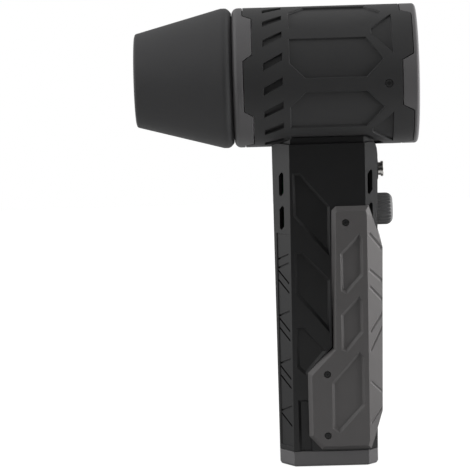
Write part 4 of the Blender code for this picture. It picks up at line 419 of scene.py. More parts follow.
def makeNozzle():
    frontX, rearX = endsX("nozzle")
    mouth, lip, inner = nozzle["mouthRadius"], nozzle["lip"], nozzle["mouthRadius"] - nozzle["wall"]
    crestX = frontRingX - nozzle["shoulder"]
    crestRadius = barrelRadius + nozzle["crestProud"]
    rearRadius = barrelRadius - rings["frontStep"] + nozzle["rearProud"]
    socket = barrelRadius - spigotDepth + gap
    socketX = frontRingX - rings["spigotLength"] - gap
    slope = (crestRadius - mouth) / (crestX - frontX)
    profile = [(rearX, rearRadius)]
    shoulder = crestX + nozzle["crest"]
    for i in range(1, 9):
        turn = i / 8 * math.pi / 2
        profile.append((rearX - (rearX - shoulder) * math.sin(turn),
                        crestRadius - (crestRadius - rearRadius) * (1 - math.sin(turn)) ** 2))
    profile.append((crestX - nozzle["crestFall"][0], crestRadius - nozzle["crestFall"][1]))
    lipOuter, edge = mouth + slope * lip, nozzle["mouthEdge"]
    profile.append((frontX + lip, lipOuter))
    profile += [(frontX + lip * back, lipOuter - lip * drop) for back, drop in nozzle["lipCurve"]]
    profile += [(frontX, lipOuter - lip), (frontX, inner + edge), (frontX + edge, inner)]
    throat = socket - rings["spigotWall"]
    profile += [(socketX - nozzle["throatRun"], throat), (socketX, throat), (socketX, socket),
                (rearX, socket)]
    piece = turnedSolid("nozzlePiece", profile + profile[:1], nozzle["steps"], alongX())
    smooth(roundEdges(piece, nozzle["edge"], 2, 50))
    standFor(piece, "nozzle", "nozzle_body", "nozzle_black")


# Handle: an octagon that widens towards the top

capLow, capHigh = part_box("base_cap")
handle = dict(rearFlare=0.0030, frontChamfer=(0.0075, 0.0090), rearChamfer=(0.0049, 0.0069),
              frontRatio=1.01, rearRatio=0.80, wall=0.0022, edge=0.00045, crownFoot=-0.0190,
              crown=((0.0040, 0.0022), (0.0020, 0.0012), (0.0, 0.0004), (-0.0040, 0.0)),
              shoulder=0.0038, rebate=0.0014)
capTopZ = capHigh[2]
handleTopZ = axisZ - barrelRadius - hair
handleFrontX = capLow[0]
handleHalfY = capHigh[1]
handleRearX = (capHigh[0], capHigh[0] + handle["rearFlare"])


def atHeight(pair, z):
    return pair[0] + (z - capTopZ) / (handleTopZ - capTopZ) * (pair[1] - pair[0])


def rearX(z):
    return atHeight(handleRearX, z)


def handleSection(z, more=0.0):
    rear = rearX(z)
    frontRun = atHeight(handle["frontChamfer"], z)
    rearRun = atHeight(handle["rearChamfer"], z) + more
    frontHalf = handleHalfY - handle["frontRatio"] * frontRun
    rearHalf = handleHalfY - handle["rearRatio"] * rearRun
    lowerHalf = [(handleFrontX, -frontHalf), (handleFrontX + frontRun, -handleHalfY),
                 (rear - rearRun, -handleHalfY), (rear, -rearHalf)]
    return lowerHalf + [(x, -y) for x, y in reversed(lowerHalf)]


def handleCore(name, grow, bottom, top, more=0.0):
    return ringSolid(name, [[(x, y, z) for x, y in grown(handleSection(z, more), grow)]
                            for z in (bottom, top)])


def faceFrame(corner, grow=0.0, more=0.0):
    # Lays an outline on a face of the handle: X across it, Y up at true height, Z outwards
    low = grown(handleSection(0.0, more), grow)
    high = grown(handleSection(handleTopZ, more), grow)
    middle = (low[corner] + low[corner + 1]) / 2
    above = (high[corner] + high[corner + 1]) / 2
    across = (low[corner + 1] - low[corner]).normalized().to_3d()
    rise = Vector((above.x - middle.x, above.y - middle.y, handleTopZ))
    rows = (across, rise / handleTopZ, across.cross(rise).normalized())
    matrix = Matrix(rows).transposed().to_4x4()
    matrix.translation = (middle.x, middle.y, 0.0)
    return matrix


def sidePlane(y):
    return Matrix.Translation((0.0, y, 0.0)) @ Matrix.Rotation(math.pi / 2, 4, "X")


def peg(start, end, radius, corners=24):
    only(None)
    way = Vector(end) - Vector(start)
    turn = way.to_track_quat("Z", "Y").to_matrix().to_4x4()
    bpy.ops.mesh.primitive_cylinder_add(vertices=corners, radius=radius, depth=way.length)
    middle = (Vector(start) + Vector(end)) / 2
    return settle(newPiece("cutter"), Matrix.Translation(middle) @ turn)


def block(low, high):
    only(None)
    size = Vector(high) - Vector(low)
    bpy.ops.mesh.primitive_cube_add(size=1.0, location=(Vector(low) + Vector(high)) / 2)
    piece = newPiece("cutter")
    piece.scale = size
    return settle(piece)


shell = dict(panelDepth=0.0014, panelSlope=0.0014, panelInset=0.0013, panelTopWidth=0.0042,
             margin=0.0007, stepTop=(0.0771, 0.0548), stepRear=((-0.0113, 0.0510), (0.0, 0.0637)),
             lastTop=0.0374, lastReach=0.0020, ventHeight=0.0130, ventWidth=0.0033,
             ventSlant=0.0022, ventShares=(0.2, 0.3), ventReach=1.6,
             frontVents=(0.0177, 0.0356), rearVents=(0.0172, 0.0347),
             fieldBottom=0.0028, fieldDrop=0.0441, fieldDepth=0.0005, fieldBorder=0.0010,
             grooveWidth=0.0011, grooveDepth=0.0008, grooveReach=0.0080, grooveDrop=0.0190,
             grooveGroups=4, groovePitch=0.0260, grooveLead=(0.0047, 0.0082),
             grooves=((0.0, 0.0035), (-0.0013, -0.0077), (-0.0064, -0.0128)), bossDepth=0.0030,
             bossRadius=0.0056, bossProud=0.0009, holeRadius=0.0048, buttonHole=0.0038,
             holeReach=(0.008, 0.01), pilotRadius=0.0012)
# Heights of a panel's top, of its rear edge's two ends and of its front edge's lower end
shell["panels"] = ((0.1599, 0.1417, 0.1147, 0.1369), (0.1179, 0.1024, 0.0734, 0.0954))
cover = dict(proud=0.0026, more=0.0004, drop=0.0293, nick=0.0022, frontX=(0.0043, 0.0029),
             stepZ=0.0658, toeX=-0.0102, toeZ=(0.0521, 0.0174), lift=0.0011, bottomX=-0.0035,
             rearBottom=0.0205, rearDrop=0.0241, edgeSlope=0.0026, corner=0.0014, runout=0.0028,
             windowDepth=0.0012, windowSlope=0.0015, grooveReach=(-0.0031, 0.0051),
             grooveWidth=0.0012, grooveDepth=0.00028, grooveSlant=0.42, screwHole=0.0019,
             screwSink=0.0014, edge=0.0007)
cover["windows"] = (((0.0083, 0.0965), (0.0113, 0.0949), (0.0204, 0.1050), (0.0204, 0.1247),
                     (0.0187, 0.1276), (0.0083, 0.1169)),
                    ((0.0080, 0.0647), (0.0110, 0.0633), (0.0198, 0.0740), (0.0198, 0.0911),
                     (0.0178, 0.0940), (0.0080, 0.0839)),
                    ((0.0023, 0.0213), (0.0062, 0.0190), (0.0200, 0.0340), (0.0200, 0.0609),
                     (0.0174, 0.0638), (0.0025, 0.0470)))
# Heights of the two ends of each groove across a rear corner
cover["grooves"] = ((0.1269, 0.1181), (0.1074, 0.1006), (0.0984, 0.0904), (0.0740, 0.0828),
                    (0.0636, 0.0756), (0.0469, 0.0396), (0.0239, 0.0322))
coverTopZ = handleTopZ - cover["drop"]
coverBottomZ = capTopZ + cover["lift"]
frontFace, rearFace = 0, 2          # counted round the octagon


def coverFrontX(z):
    top, step = cover["frontX"]
    return top + (coverTopZ - z) / (coverTopZ - cover["stepZ"]) * (step - top)


def sidePanels():
    front = handleFrontX + handle["frontChamfer"][1] + shell["panelInset"]
    inner = front + shell["panelTopWidth"]
    margin = shell["margin"]
    outlines = []
    for top, upper, lower, edge in shell["panels"]:
        outlines.append([(front, edge), (coverFrontX(lower) - margin, lower),
                         (coverFrontX(upper) - margin, upper), (inner, top), (front, top)])
    top, edge = shell["stepTop"]
    outlines.append([(front, edge), *shell["stepRear"], (inner, top), (front, top)])
    rear, top = cover["toeX"] + shell["lastReach"], shell["lastTop"]
    outlines.append([(front, capTopZ - past), (rear, capTopZ - past), (rear, top), (front, top)])
    return outlines


def ventOutline(z):
    width, height, slant = shell["ventWidth"] / 2, shell["ventHeight"] / 2, shell["ventSlant"]
    low, high = z - height, z + height
    across, up = shell["ventShares"]
    return [(-width, low + slant * up), (-width * across, low), (width, low + slant),
            (width, high - slant * up), (width * across, high), (-width, high - slant)]


def handleShellCutters():
    cutters = [pocket(outline, shell["panelDepth"], shell["panelSlope"], sidePlane(-handleHalfY))
               for outline in sidePanels()]
    front, rear = faceFrame(frontFace), faceFrame(rearFace)
    low, high = handleSection(0.0)[:2]
    half = (Vector(high) - Vector(low)).length / 2 - shell["fieldBorder"]
    bottom, top = capTopZ + shell["fieldBottom"], handleTopZ - shell["fieldDrop"]
    field = [(-half, bottom), (half, bottom), (half, top), (-half, top)]
    gripField = [pocket(field, shell["fieldDepth"], shell["fieldDepth"] / 2, front)]
    grooves = []
    reach = shell["grooveReach"] / 2
    for i in range(shell["grooveGroups"]):
        base = top - shell["grooveDrop"] - i * shell["groovePitch"]
        group = list(shell["grooves"])
        if i == 0:
            group.append(shell["grooveLead"])
        if i == shell["grooveGroups"] - 1:
            group.pop()
        for start, end in group:
            grooves.append(stroke((-reach, base + start), (reach, base + end), shell["grooveWidth"],
                                  shell["fieldDepth"] + shell["grooveDepth"], front))
    for drops, face in ((shell["frontVents"], front), (shell["rearVents"], rear)):
        for drop in drops:
            cutters.append(pocket(ventOutline(handleTopZ - drop),
                                  shell["ventReach"] * handle["wall"], hair, face))
    return cutters, gripField, grooves


def crownCutter(top):
    edge = rearX(handleTopZ)
    outline = [(edge + 2 * past, handleTopZ + handle["crownFoot"]), (edge + 2 * past, top + past),
               (edge - handle["crown"][0][1], top + past)]
    outline += [(edge - inset, handleTopZ + rise) for rise, inset in handle["crown"]]
    return ringSolid("cutter", [[(x, side * 3 * handleHalfY, z) for x, z in outline]
                                for side in (1, -1)])


def gripScrewPlaces():
    return [middleOf(f"grip_screw_left_{i}")[::2] for i in range(1, 4)]


def makeShells():
    bottom, top = (corner[2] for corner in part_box("handle_shell_left"))
    knobZ, buttonZ = middleOf("speed_knob")[2], middleOf("power_button")[2]
    piece = handleCore("shellLeft", 0.0, bottom, top)
    face = rearX(buttonZ)
    carve(piece, [crownCutter(top)])
    carve(piece, [peg((face - shell["bossDepth"], 0.0, buttonZ),
                      (face + shell["bossProud"], 0.0, buttonZ),
                      shell["bossRadius"], 48)], "UNION")
    for cutters in handleShellCutters():
        carve(piece, cutters)
    inside, outside = face - shell["holeReach"][0], face + shell["holeReach"][1]
    carve(piece, [peg((inside, 0.0, z), (outside, 0.0, z), radius, 48) for z, radius in
                  ((buttonZ, shell["buttonHole"]), (knobZ, shell["holeRadius"]))])
    roundEdges(piece, handle["edge"], 3, 24)
    carve(piece, [handleCore("cutter", -handle["wall"], bottom - past, top + past)])
    # The walls reach the floor of the sleeve's panels, so no slit opens under them
    clear = 10 * past
    carve(piece, [peg((sleeveFrontX - clear, 0.0, axisZ), (sleeveRearX + clear, 0.0, axisZ),
                      barrelRadius - sleeve["recess"], 128)])
    # The shoulders end level; a thinner wall behind them goes on up to the barrel
    shoulder = handleTopZ + handle["shoulder"]
    rebate = handleCore("cutter", 2 * past, shoulder, top + past)
    carve(rebate, [handleCore("core", -handle["rebate"], shoulder - past, top + 2 * past)])
    carve(piece, [rebate])
    carve(piece, [peg((x, -handleHalfY - past, z), (x, -handleHalfY + 2 * handle["wall"], z),
                      shell["pilotRadius"]) for x, z in gripScrewPlaces()])
    far = 3 * handleHalfY
    carve(piece, [block((-far, -gap / 2, -clear), (far, far, top + clear))])
    smooth(piece)
    standFor(piece, "handle_shell_left", "housing", "shell_black")
    other = copied(piece, Matrix.Diagonal((1.0, -1.0, 1.0, 1.0)))
    other.name = other.data.name = "shellRight"
    smooth(closeUp(other))
    standFor(other, "handle_shell_right", "housing", "shell_black")


# Grey armour over the back of the handle

def coverOutline():
    clear = handleRearX[1] + 3 * cover["proud"]
    rearBottom, rearTop = coverBottomZ + cover["rearBottom"], coverTopZ - cover["rearDrop"]
    return [(cover["toeX"], cover["toeZ"][1]), (cover["bottomX"], coverBottomZ),
            (handleRearX[0] - handle["rearChamfer"][0] + cover["corner"], coverBottomZ),
            (rearX(rearBottom) + cover["runout"], rearBottom), (clear, rearBottom),
            (clear, rearTop), (rearX(rearTop) + cover["runout"], rearTop),
            (handleRearX[1] - handle["rearChamfer"][1] + cover["corner"], coverTopZ),
            (cover["frontX"][0] + cover["nick"], coverTopZ),
            (cover["frontX"][0], coverTopZ - cover["nick"]), (cover["frontX"][1], cover["stepZ"]),
            (cover["toeX"], cover["toeZ"][0])]


def makeCover():
    proud = cover["proud"]
    low, high = coverBottomZ - 2 * proud, coverTopZ + 2 * proud
    piece = handleCore("gripCover", proud, low, high, cover["more"])
    outline = coverOutline()
    edge, reach = handleHalfY + gap, proud + gap
    inset = grown(outline, -cover["edgeSlope"] * reach / proud)
    carve(piece, [ringSolid("cutter", [[(x, y, z) for x, z in points] for y, points in
                                       ((edge + reach, inset), (edge, outline), (-edge, outline),
                                        (-edge - reach, inset))])], "INTERSECT")
    face = handleHalfY + proud
    cutters = []
    screws = gripScrewPlaces()
    near, far = cover["grooveReach"]
    for side in (1, -1):
        hand = Matrix.Diagonal((1.0, side, 1.0, 1.0))
        corner = hand @ faceFrame(rearFace, proud, cover["more"])
        for points in cover["windows"]:
            cutters.append(pocket(points, cover["windowDepth"], cover["windowSlope"],
                                  hand @ sidePlane(-face)))
        for start, end in cover["grooves"]:
            cutters.append(stroke((near, start), (far, end), cover["grooveWidth"],
                                  cover["grooveDepth"], corner, cover["grooveSlant"]))
        for x, z in screws:
            cutters.append(peg((x, -side * (face - cover["screwSink"]), z),
                               (x, -side * (face + past), z), cover["screwHole"]))
    for cutter in cutters:
        closeUp(cutter)
    carve(piece, cutters)
    roundEdges(piece, cover["edge"], 3, 20)
    carve(piece, [handleCore("cutter", gap, low - past, high + past)])
    carve(piece, [peg((x, -face, z), (x, face, z), shell["pilotRadius"]) for x, z in screws])
    smooth(piece)
    standFor(piece, "rear_grip_cover", "housing", "cover_grey")


# Base cap

base = dict(floor=0.0024, wall=0.0022, edge=((0.0, 0.0020), (0.0006, 0.0007), (0.0020, 0.0)),
            port=(0.0096, 0.0038), portDepth=0.004, portSlope=0.00005, screwHole=0.0019,
            screwDepth=0.0014, rounding=0.0003)


def stadium(width, height):
    radius = height / 2
    middle = width / 2 - radius
    return [point for side in (1, -1) for point in
            arcPoints((side * middle, 0.0), radius, -90 * side, 180 - 90 * side, 12)]


def facingRear(x, z):
    return Matrix.Translation((x, 0.0, z)) @ Matrix(((0, 0, 1, 0), (1, 0, 0, 0), (0, 1, 0, 0),
                                                     (0, 0, 0, 1)))


def makeBaseCap():
    section = handleSection(capTopZ)
    sections = [[(x, y, z) for x, y in grown(section, -inset)] for z, inset in base["edge"]]
    sections.append([(x, y, capTopZ) for x, y in section])
    piece = ringSolid("baseCap", sections)
    cutters = [pocket(stadium(*base["port"]), base["portDepth"], base["portSlope"],
                      facingRear(capHigh[0], middleOf("usb_c_socket")[2]))]
    for i in range(1, 5):
        x, y = middleOf(f"base_screw_{i}")[:2]
        cutters.append(peg((x, y, -past), (x, y, base["screwDepth"]), base["screwHole"]))
    carve(piece, cutters)
    roundEdges(piece, base["rounding"], 3, 20)
    inside = [[(x, y, z) for x, y in grown(section, -base["wall"])]
              for z in (base["floor"], capTopZ + past)]
    carve(piece, [ringSolid("cutter", inside)])
    smooth(piece)
    standFor(piece, "base_cap", "housing", "housing_grey")


# Speed knob: round flutes cut into a turned cap

knob = dict(rounding=0.0037, dimple=(0.45, 0.42), dimpleDepth=0.0003, ridges=26,
            fluteRadius=0.0009, fluteDepth=0.0007, fluteTaper=0.0004, wall=0.0014,
            boreRadius=0.0033, nutRadius=0.0069, nutDepth=0.0022, proud=0.0007, edge=0.00015)


def makeKnob():
    low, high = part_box("speed_knob")
    radius, rounding = high[1], knob["rounding"]
    length = high[0] - low[0] + knob["proud"]
    floor, (rim, foot) = length - knob["dimpleDepth"], knob["dimple"]
    profile = [(0.0, radius)]
    profile += arcPoints((length - rounding, radius - rounding), rounding, 90, 0, 8)
    profile += [(length, radius * rim), (floor, radius * foot), (floor, 0.0)]
    profile = [(height, min(across, radius)) for height, across in profile]
    profile = [(0.0, knob["nutRadius"])] + profile
    roof = length - knob["wall"]
    inside = [(roof, 0.0), (roof, knob["boreRadius"]), (knob["nutDepth"], knob["boreRadius"]),
              (knob["nutDepth"], knob["nutRadius"]), (0.0, knob["nutRadius"])]
    piece = turnedSolid("knobPiece", profile + inside, 120, Matrix.Identity(4))
    place = radius + knob["fluteRadius"] - knob["fluteDepth"]
    flute = peg((place, 0.0, -past), (place - knob["fluteTaper"], 0.0, length + past),
                knob["fluteRadius"], 12)
    flutes = [copied(flute, Matrix.Rotation(math.tau * i / knob["ridges"], 4, "Z"))
              for i in range(1, knob["ridges"])]
    carve(piece, [flute] + flutes)
    roundEdges(piece, knob["edge"], 2, 40)
    settle(piece, alongX(low[0], middleOf("speed_knob")[2]))
    smooth(piece)
    standFor(piece, "speed_knob", "knob", "knob_grey")


# Push button in its threaded bushing

button = dict(edge=0.0004, bushingRadius=0.0035, flange=0.0013, flangeRounding=0.0005,
              proud=0.0010, bushingProud=0.0014)


def makeButton():
    low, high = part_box("power_button")
    z = middleOf("power_button")[2]
    radius, edge, rounding = high[1], button["edge"], button["flangeRounding"]
    length = high[0] - low[0] + button["proud"]
    profile = [(0.0, 0.0), (0.0, radius)]
    profile += arcPoints((length - edge, radius - edge), edge, 90, 20, 5)
    profile += [(length, radius - 1.6 * edge), (length, rounding), (length, 0.0)]
    piece = turnedSolid("buttonPlunger", profile, 64, alongX(low[0], z))
    smooth(piece)
    standFor(piece, "power_button", "button", "button_chrome")
    low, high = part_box("button_bezel")
    bore, outer, sleeveRadius = radius + gap, high[1], button["bushingRadius"]
    length = high[0] - low[0] + button["bushingProud"]
    seat = length - button["flange"]
    profile = [(0.0, bore), (0.0, sleeveRadius), (seat, sleeveRadius), (seat, outer)]
    profile += arcPoints((length - rounding, outer - rounding), rounding, 90, 0, 5)
    profile += [(length, bore + edge), (length - edge, bore), (0.0, bore)]
    bushing = turnedSolid("buttonBushing", profile, 64, alongX(low[0], z))
    smooth(bushing)
    standFor(bushing, "button_bezel", "housing", "button_chrome")


# Screws with a cross in the head; those of the barrel are larger

screw = dict(headRadius=0.0015, headHeight=0.0009, shankRadius=0.0008, rounding=0.0004,
             slot=0.00045, slotDepth=0.0005, slotShare=0.62, barrelHeadRadius=0.0019,
             barrelProud=0.0003)


def makeScrews():
    height, shank, rounding = screw["headHeight"], screw["shankRadius"], screw["rounding"]
    for name in sorted(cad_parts):
        if "_screw_" not in name or name.startswith("saddle"):
            continue
        low, high = (Vector(corner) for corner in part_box(name))
        middle = (low + high) / 2
        length = max(high - low)
        onBarrel = name.startswith("barrel")
        radius = screw["barrelHeadRadius"] if onBarrel else screw["headRadius"]
        if name.startswith("base"):
            inward = Vector((0.0, 0.0, 1.0))
        else:
            core = Vector((middle.x, 0.0, axisZ if onBarrel else middle.z))
            inward = (core - middle).normalized()
        outside = middle - inward * (length / 2 + (screw["barrelProud"] if onBarrel else 0.0))
        profile = [(0.0, 0.0)] + arcPoints((rounding, radius - rounding), rounding, 180, 90, 4)
        profile += [(height, radius), (height, shank), (length, shank), (length, 0.0)]
        piece = turnedSolid(name + "Head", profile, 32, Matrix.Identity(4))
        reach, half = radius * screw["slotShare"], screw["slot"] / 2
        for x, y in ((reach, half), (half, reach)):
            carve(piece, [block((-x, -y, -past), (x, y, screw["slotDepth"]))])
        turn = inward.to_track_quat("Z", "Y").to_matrix().to_4x4()
        settle(piece, Matrix.Translation(outside) @ turn)
        smooth(piece, 30, False)
        standFor(piece, name, "housing", "screw_steel", "screw_black")


# Intake guard, fan, stator and tail cone

intake = dict(rim=0.0034, rimEdge=0.0003, rimChamfer=0.0006, ringCount=5, bar=0.0013,
              barEdge=0.0002, depth=0.0018, hubEdge=((0.0005, 1.0), (0.0001, 0.88), (0.0, 0.6)),
              spokes=6, spokeEdge=0.0003)


def makeGrille():
    low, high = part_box("intake_grille")
    outer = high[2] - axisZ
    front, rear = low[0], high[0]
    rim, bar, edge, chamfer = (intake[size] for size in ("rim", "bar", "rimEdge", "rimChamfer"))
    barFront = rear - intake["depth"]
    pitch = (outer - rim + bar) / (intake["ringCount"] + 2)
    profile = [(front, outer), (rear - edge, outer), (rear, outer - edge),
               (rear, outer - rim + chamfer), (rear - chamfer, outer - rim),
               (front, outer - rim), (front, outer)]
    pieces = [turnedSolid("rim", profile, 144, alongX())]
    profile = [(barFront, 0.0), (barFront, pitch)]
    profile += [(rear - back, pitch * share) for back, share in intake["hubEdge"]]
    pieces.append(turnedSolid("hub", profile + [(rear, 0.0)], 64, alongX()))
    half, edge = bar / 2, intake["barEdge"]
    for i in range(1, intake["ringCount"] + 1):
        middle = pitch * (i + 1) - half
        section = arcPoints((rear - half, middle), half, -90, 90, 6)
        section += [(barFront + edge, middle + half), (barFront, middle),
                    (barFront + edge, middle - half), section[0]]
        pieces.append(turnedSolid("ring", section, 128, alongX()))
    reach = outer - rim / 2
    for i in range(intake["spokes"] // 2):
        spoke = block((barFront + hair, rim / 2 - outer, -half), (rear - hair, reach, half))
        roundEdges(spoke, intake["spokeEdge"], 2, 30)
        spin = Matrix.Rotation(math.tau * i / intake["spokes"], 4, "X")
        pieces.append(settle(spoke, Matrix.Translation((0.0, 0.0, axisZ)) @ spin))
    standFor(smooth(joined("intakeGuard", pieces)), "intake_grille", "housing", "dark_steel")


fan = dict(blades=9, bladeSweep=(22.0, 34.0), bladeInset=(0.001, 0.002), bladeRoot=0.90,
           thickness=0.0011, curl=0.35, tipGap=0.0007, vanes=7, vaneX=(-0.0060, 0.0130),
           vaneSweep=24.0, vaneTwist=0.7, vaneThickness=0.0012, vaneRoots=(0.0008, 0.001),
           ductWall=0.0022, ductEdge=(0.0006, 0.0004), podRadius=0.0130, podWall=0.0016,
           podFloor=0.002, podBore=0.0036, podGap=0.001, hubBore=0.14, hubWall=0.80,
           hubDepth=0.006, nutRadius=0.70, coneFullness=0.8)
# How far each point of the hub's nose lies from its rear, and its share of the hub's radius
fan["nose"] = ((0.0, 0.70), (0.0008, 0.76), (0.0030, 0.88), (0.0050, 0.94), (0.0075, 0.98))


def blade(name, frontX, rearX, root, tip, rootSweep, tipSweep, thickness, count):
    only(None)
    bpy.ops.mesh.primitive_grid_add(x_subdivisions=10, y_subdivisions=14, size=1.0)
    piece = newPiece(name)
    for vertex in piece.data.vertices:
        across, chord = vertex.co.x + 0.5, vertex.co.y + 0.5
        radius = root + across * (tip - root)
        sweep = math.radians(rootSweep + across * (tipSweep - rootSweep))
        angle = sweep * (chord - 0.5) * (1.0 + fan["curl"] * (chord - 0.5))
        vertex.co = (frontX + chord * (rearX - frontX), -radius * math.cos(angle),
                     axisZ + radius * math.sin(angle))
    modify(piece, "SOLIDIFY", thickness=thickness, offset=0.0)
    roundEdges(piece, thickness * 0.35, 2, 40)
    home = Matrix.Translation((0.0, 0.0, axisZ))
    return [piece] + [copied(piece, home @ Matrix.Rotation(math.tau * i / count, 4, "X")
                             @ home.inverted()) for i in range(1, count)]


def dome(startX, endX, radius, count, fullness=1.0):
    turns = [math.radians(90 / (count + 1) * i) for i in range(1, count + 1)]
    curve = [(startX + (endX - startX) * math.sin(turn), radius * math.cos(turn) ** fullness)
             for turn in turns]
    return [(startX, 0.0), (startX, radius), *curve, (endX, 0.0)]


def makeFan():
    podRadius = fan["podRadius"]
    hub, bore = podRadius - 2 * hair, podRadius * fan["hubBore"]
    front, rear = endsX("impeller")
    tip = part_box("impeller")[1][2] - axisZ
    inner, depth = hub * fan["hubWall"], front + fan["hubDepth"]
    profile = [(rear, bore)] + [(rear - back, hub * share) for back, share in fan["nose"]]
    profile += [(front, hub), (front, inner), (depth, inner), (depth, bore), (rear, bore)]
    pieces = [turnedSolid("hub", profile, 96, alongX())]
    pieces += blade("blade", front + fan["bladeInset"][0], rear - fan["bladeInset"][1],
                    hub * fan["bladeRoot"], tip, *fan["bladeSweep"], fan["thickness"],
                    fan["blades"])
    standFor(smooth(joined("fanWheel", pieces)), "impeller", "fan", "fan_aluminium")

    profile = dome(*endsX("spinner"), hub * fan["nutRadius"], 9)
    spinner = smooth(turnedSolid("fanNut", profile, 64, alongX()))
    standFor(spinner, "spinner", "fan", "fan_aluminium")

    ductBore = tip + fan["tipGap"]
    outer = ductBore + fan["ductWall"]
    run, flare = fan["ductEdge"]
    left, right = endsX("fan_duct")
    profile = [(right, outer), (left, outer), (left, ductBore + flare), (left + run, ductBore),
               (right - run, ductBore), (right, ductBore + flare), (right, outer)]
    pieces = [turnedSolid("duct", profile, 144, alongX())]
    coneFront, coneRear = endsX("tail_cone")
    podRear, podFront = front - fan["podGap"], coneRear + gap
    floor, podBore, inner = podFront + fan["podFloor"], fan["podBore"], podRadius - fan["podWall"]
    profile = [(podRear, podRadius), (podFront, podRadius), (podFront, podBore),
               (floor, podBore), (floor, inner), (podRear, inner), (podRear, podRadius)]
    pieces.append(turnedSolid("pod", profile, 96, alongX()))
    pieces += blade("vane", *fan["vaneX"], podRadius - fan["vaneRoots"][0],
                    ductBore + fan["vaneRoots"][1], fan["vaneSweep"],
                    fan["vaneSweep"] * fan["vaneTwist"], fan["vaneThickness"], fan["vanes"])
    standFor(smooth(joined("statorDuct", pieces)), "fan_duct", "housing", "fan_aluminium")

    profile = dome(coneRear, coneFront, podRadius, 14, fan["coneFullness"])
    cone = smooth(turnedSolid("tailCone", profile, 96, alongX()))
    standFor(cone, "tail_cone", "housing", "inner_plastic")


# Charging socket with its tongue

socket = dict(wall=0.0003, depth=0.0062, tongueX=(0.0064, 0.0008), tongueHalf=(0.37, 0.00035))


def makeSocket():
    low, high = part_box("usb_c_socket")
    z = middleOf("usb_c_socket")[2]
    width, height, wall = high[1] - low[1], high[2] - low[2], socket["wall"]
    place = facingRear(high[0], z)

    def tube(name, outline, depths):
        return ringSolid(name, [[tuple(place @ Vector((x, y, depth))) for x, y in outline]
                                for depth in depths])

    piece = tube("socketShell", stadium(width, height), (low[0] - high[0], 0.0))
    hollow = stadium(width - 2 * wall, height - 2 * wall)
    carve(piece, [tube("cutter", hollow, (-socket["depth"], past))])
    (inner, outer), (share, thick) = socket["tongueX"], socket["tongueHalf"]
    tongue = block((high[0] - inner, -width * share, z - thick),
                   (high[0] - outer, width * share, z + thick))
    roundEdges(tongue, hair, 2)
    piece = smooth(joined("socketShell", [piece, tongue]))
    standFor(piece, "usb_c_socket", "housing", "screw_steel")


# Finishes

def finish(name, colour, roughness, metallic=0.0, specular=0.5):
    material = bpy.data.materials.new(name)
    material.use_nodes = True
    inputs = material.node_tree.nodes["Principled BSDF"].inputs
    for setting, value in (("Base Color", (*colour, 1.0)), ("Roughness", roughness),
                           ("Metallic", metallic), ("Specular IOR Level", specular)):
        inputs[setting].default_value = value
    return material


def node(tree, kind, inputs, **settings):
    # A shader node; each input takes a value or another node's output
    made = tree.nodes.new("ShaderNode" + kind)
    for setting, value in settings.items():
        setattr(made, setting, value)
    for place, value in inputs.items():
        if isinstance(value, bpy.types.NodeSocket):
            tree.links.new(value, made.inputs[place])
        else:
            made.inputs[place].default_value = value
    return made


def grain(material, colour, spread, scale, bump, distance, roughness, roughSpread):
    # Moulded grain: colour, gloss and bump from fine noise on object coordinates
    tree = material.node_tree
    place = node(tree, "TexCoord", {}).outputs["Object"]
    fine, broad = (node(tree, "TexNoise", {"Vector": place, "Scale": size, "Detail": detail,
                                           "Roughness": rough}).outputs["Fac"]
                   for size, detail, rough in ((scale, 3.0, 0.6), (scale / 22.0, 4.0, 0.55)))
    dark, light = ((*(channel * (1.0 + way * spread) for channel in colour), 1.0)
                   for way in (-1, 1))
    tint = node(tree, "Mix", {0: broad, 6: dark, 7: light}, data_type="RGBA")
    gloss = node(tree, "MapRange", {"Value": fine, "To Min": roughness - roughSpread,
                                    "To Max": roughness + roughSpread})
    height = node(tree, "Bump", {"Height": fine, "Strength": bump, "Distance": distance})
    inputs = tree.nodes["Principled BSDF"].inputs
    for source, target in ((tint.outputs[2], "Base Color"), (gloss.outputs[0], "Roughness"),
                           (height.outputs[0], "Normal")):
        tree.links.new(source, inputs[target])
    return material


def plastic(name, colour, spread, scale, bump, roughness, specular=0.5):
    material = finish(name, colour, roughness, 0.0, specular)
    return grain(material, colour, spread, scale, bump, 0.0002, roughness, 0.08)


def metal(name, colour, roughness, scale, bump):
    material = finish(name, colour, roughness, 1.0)
    return grain(material, colour, 0.06, scale, bump, 0.0001, roughness, 0.06)


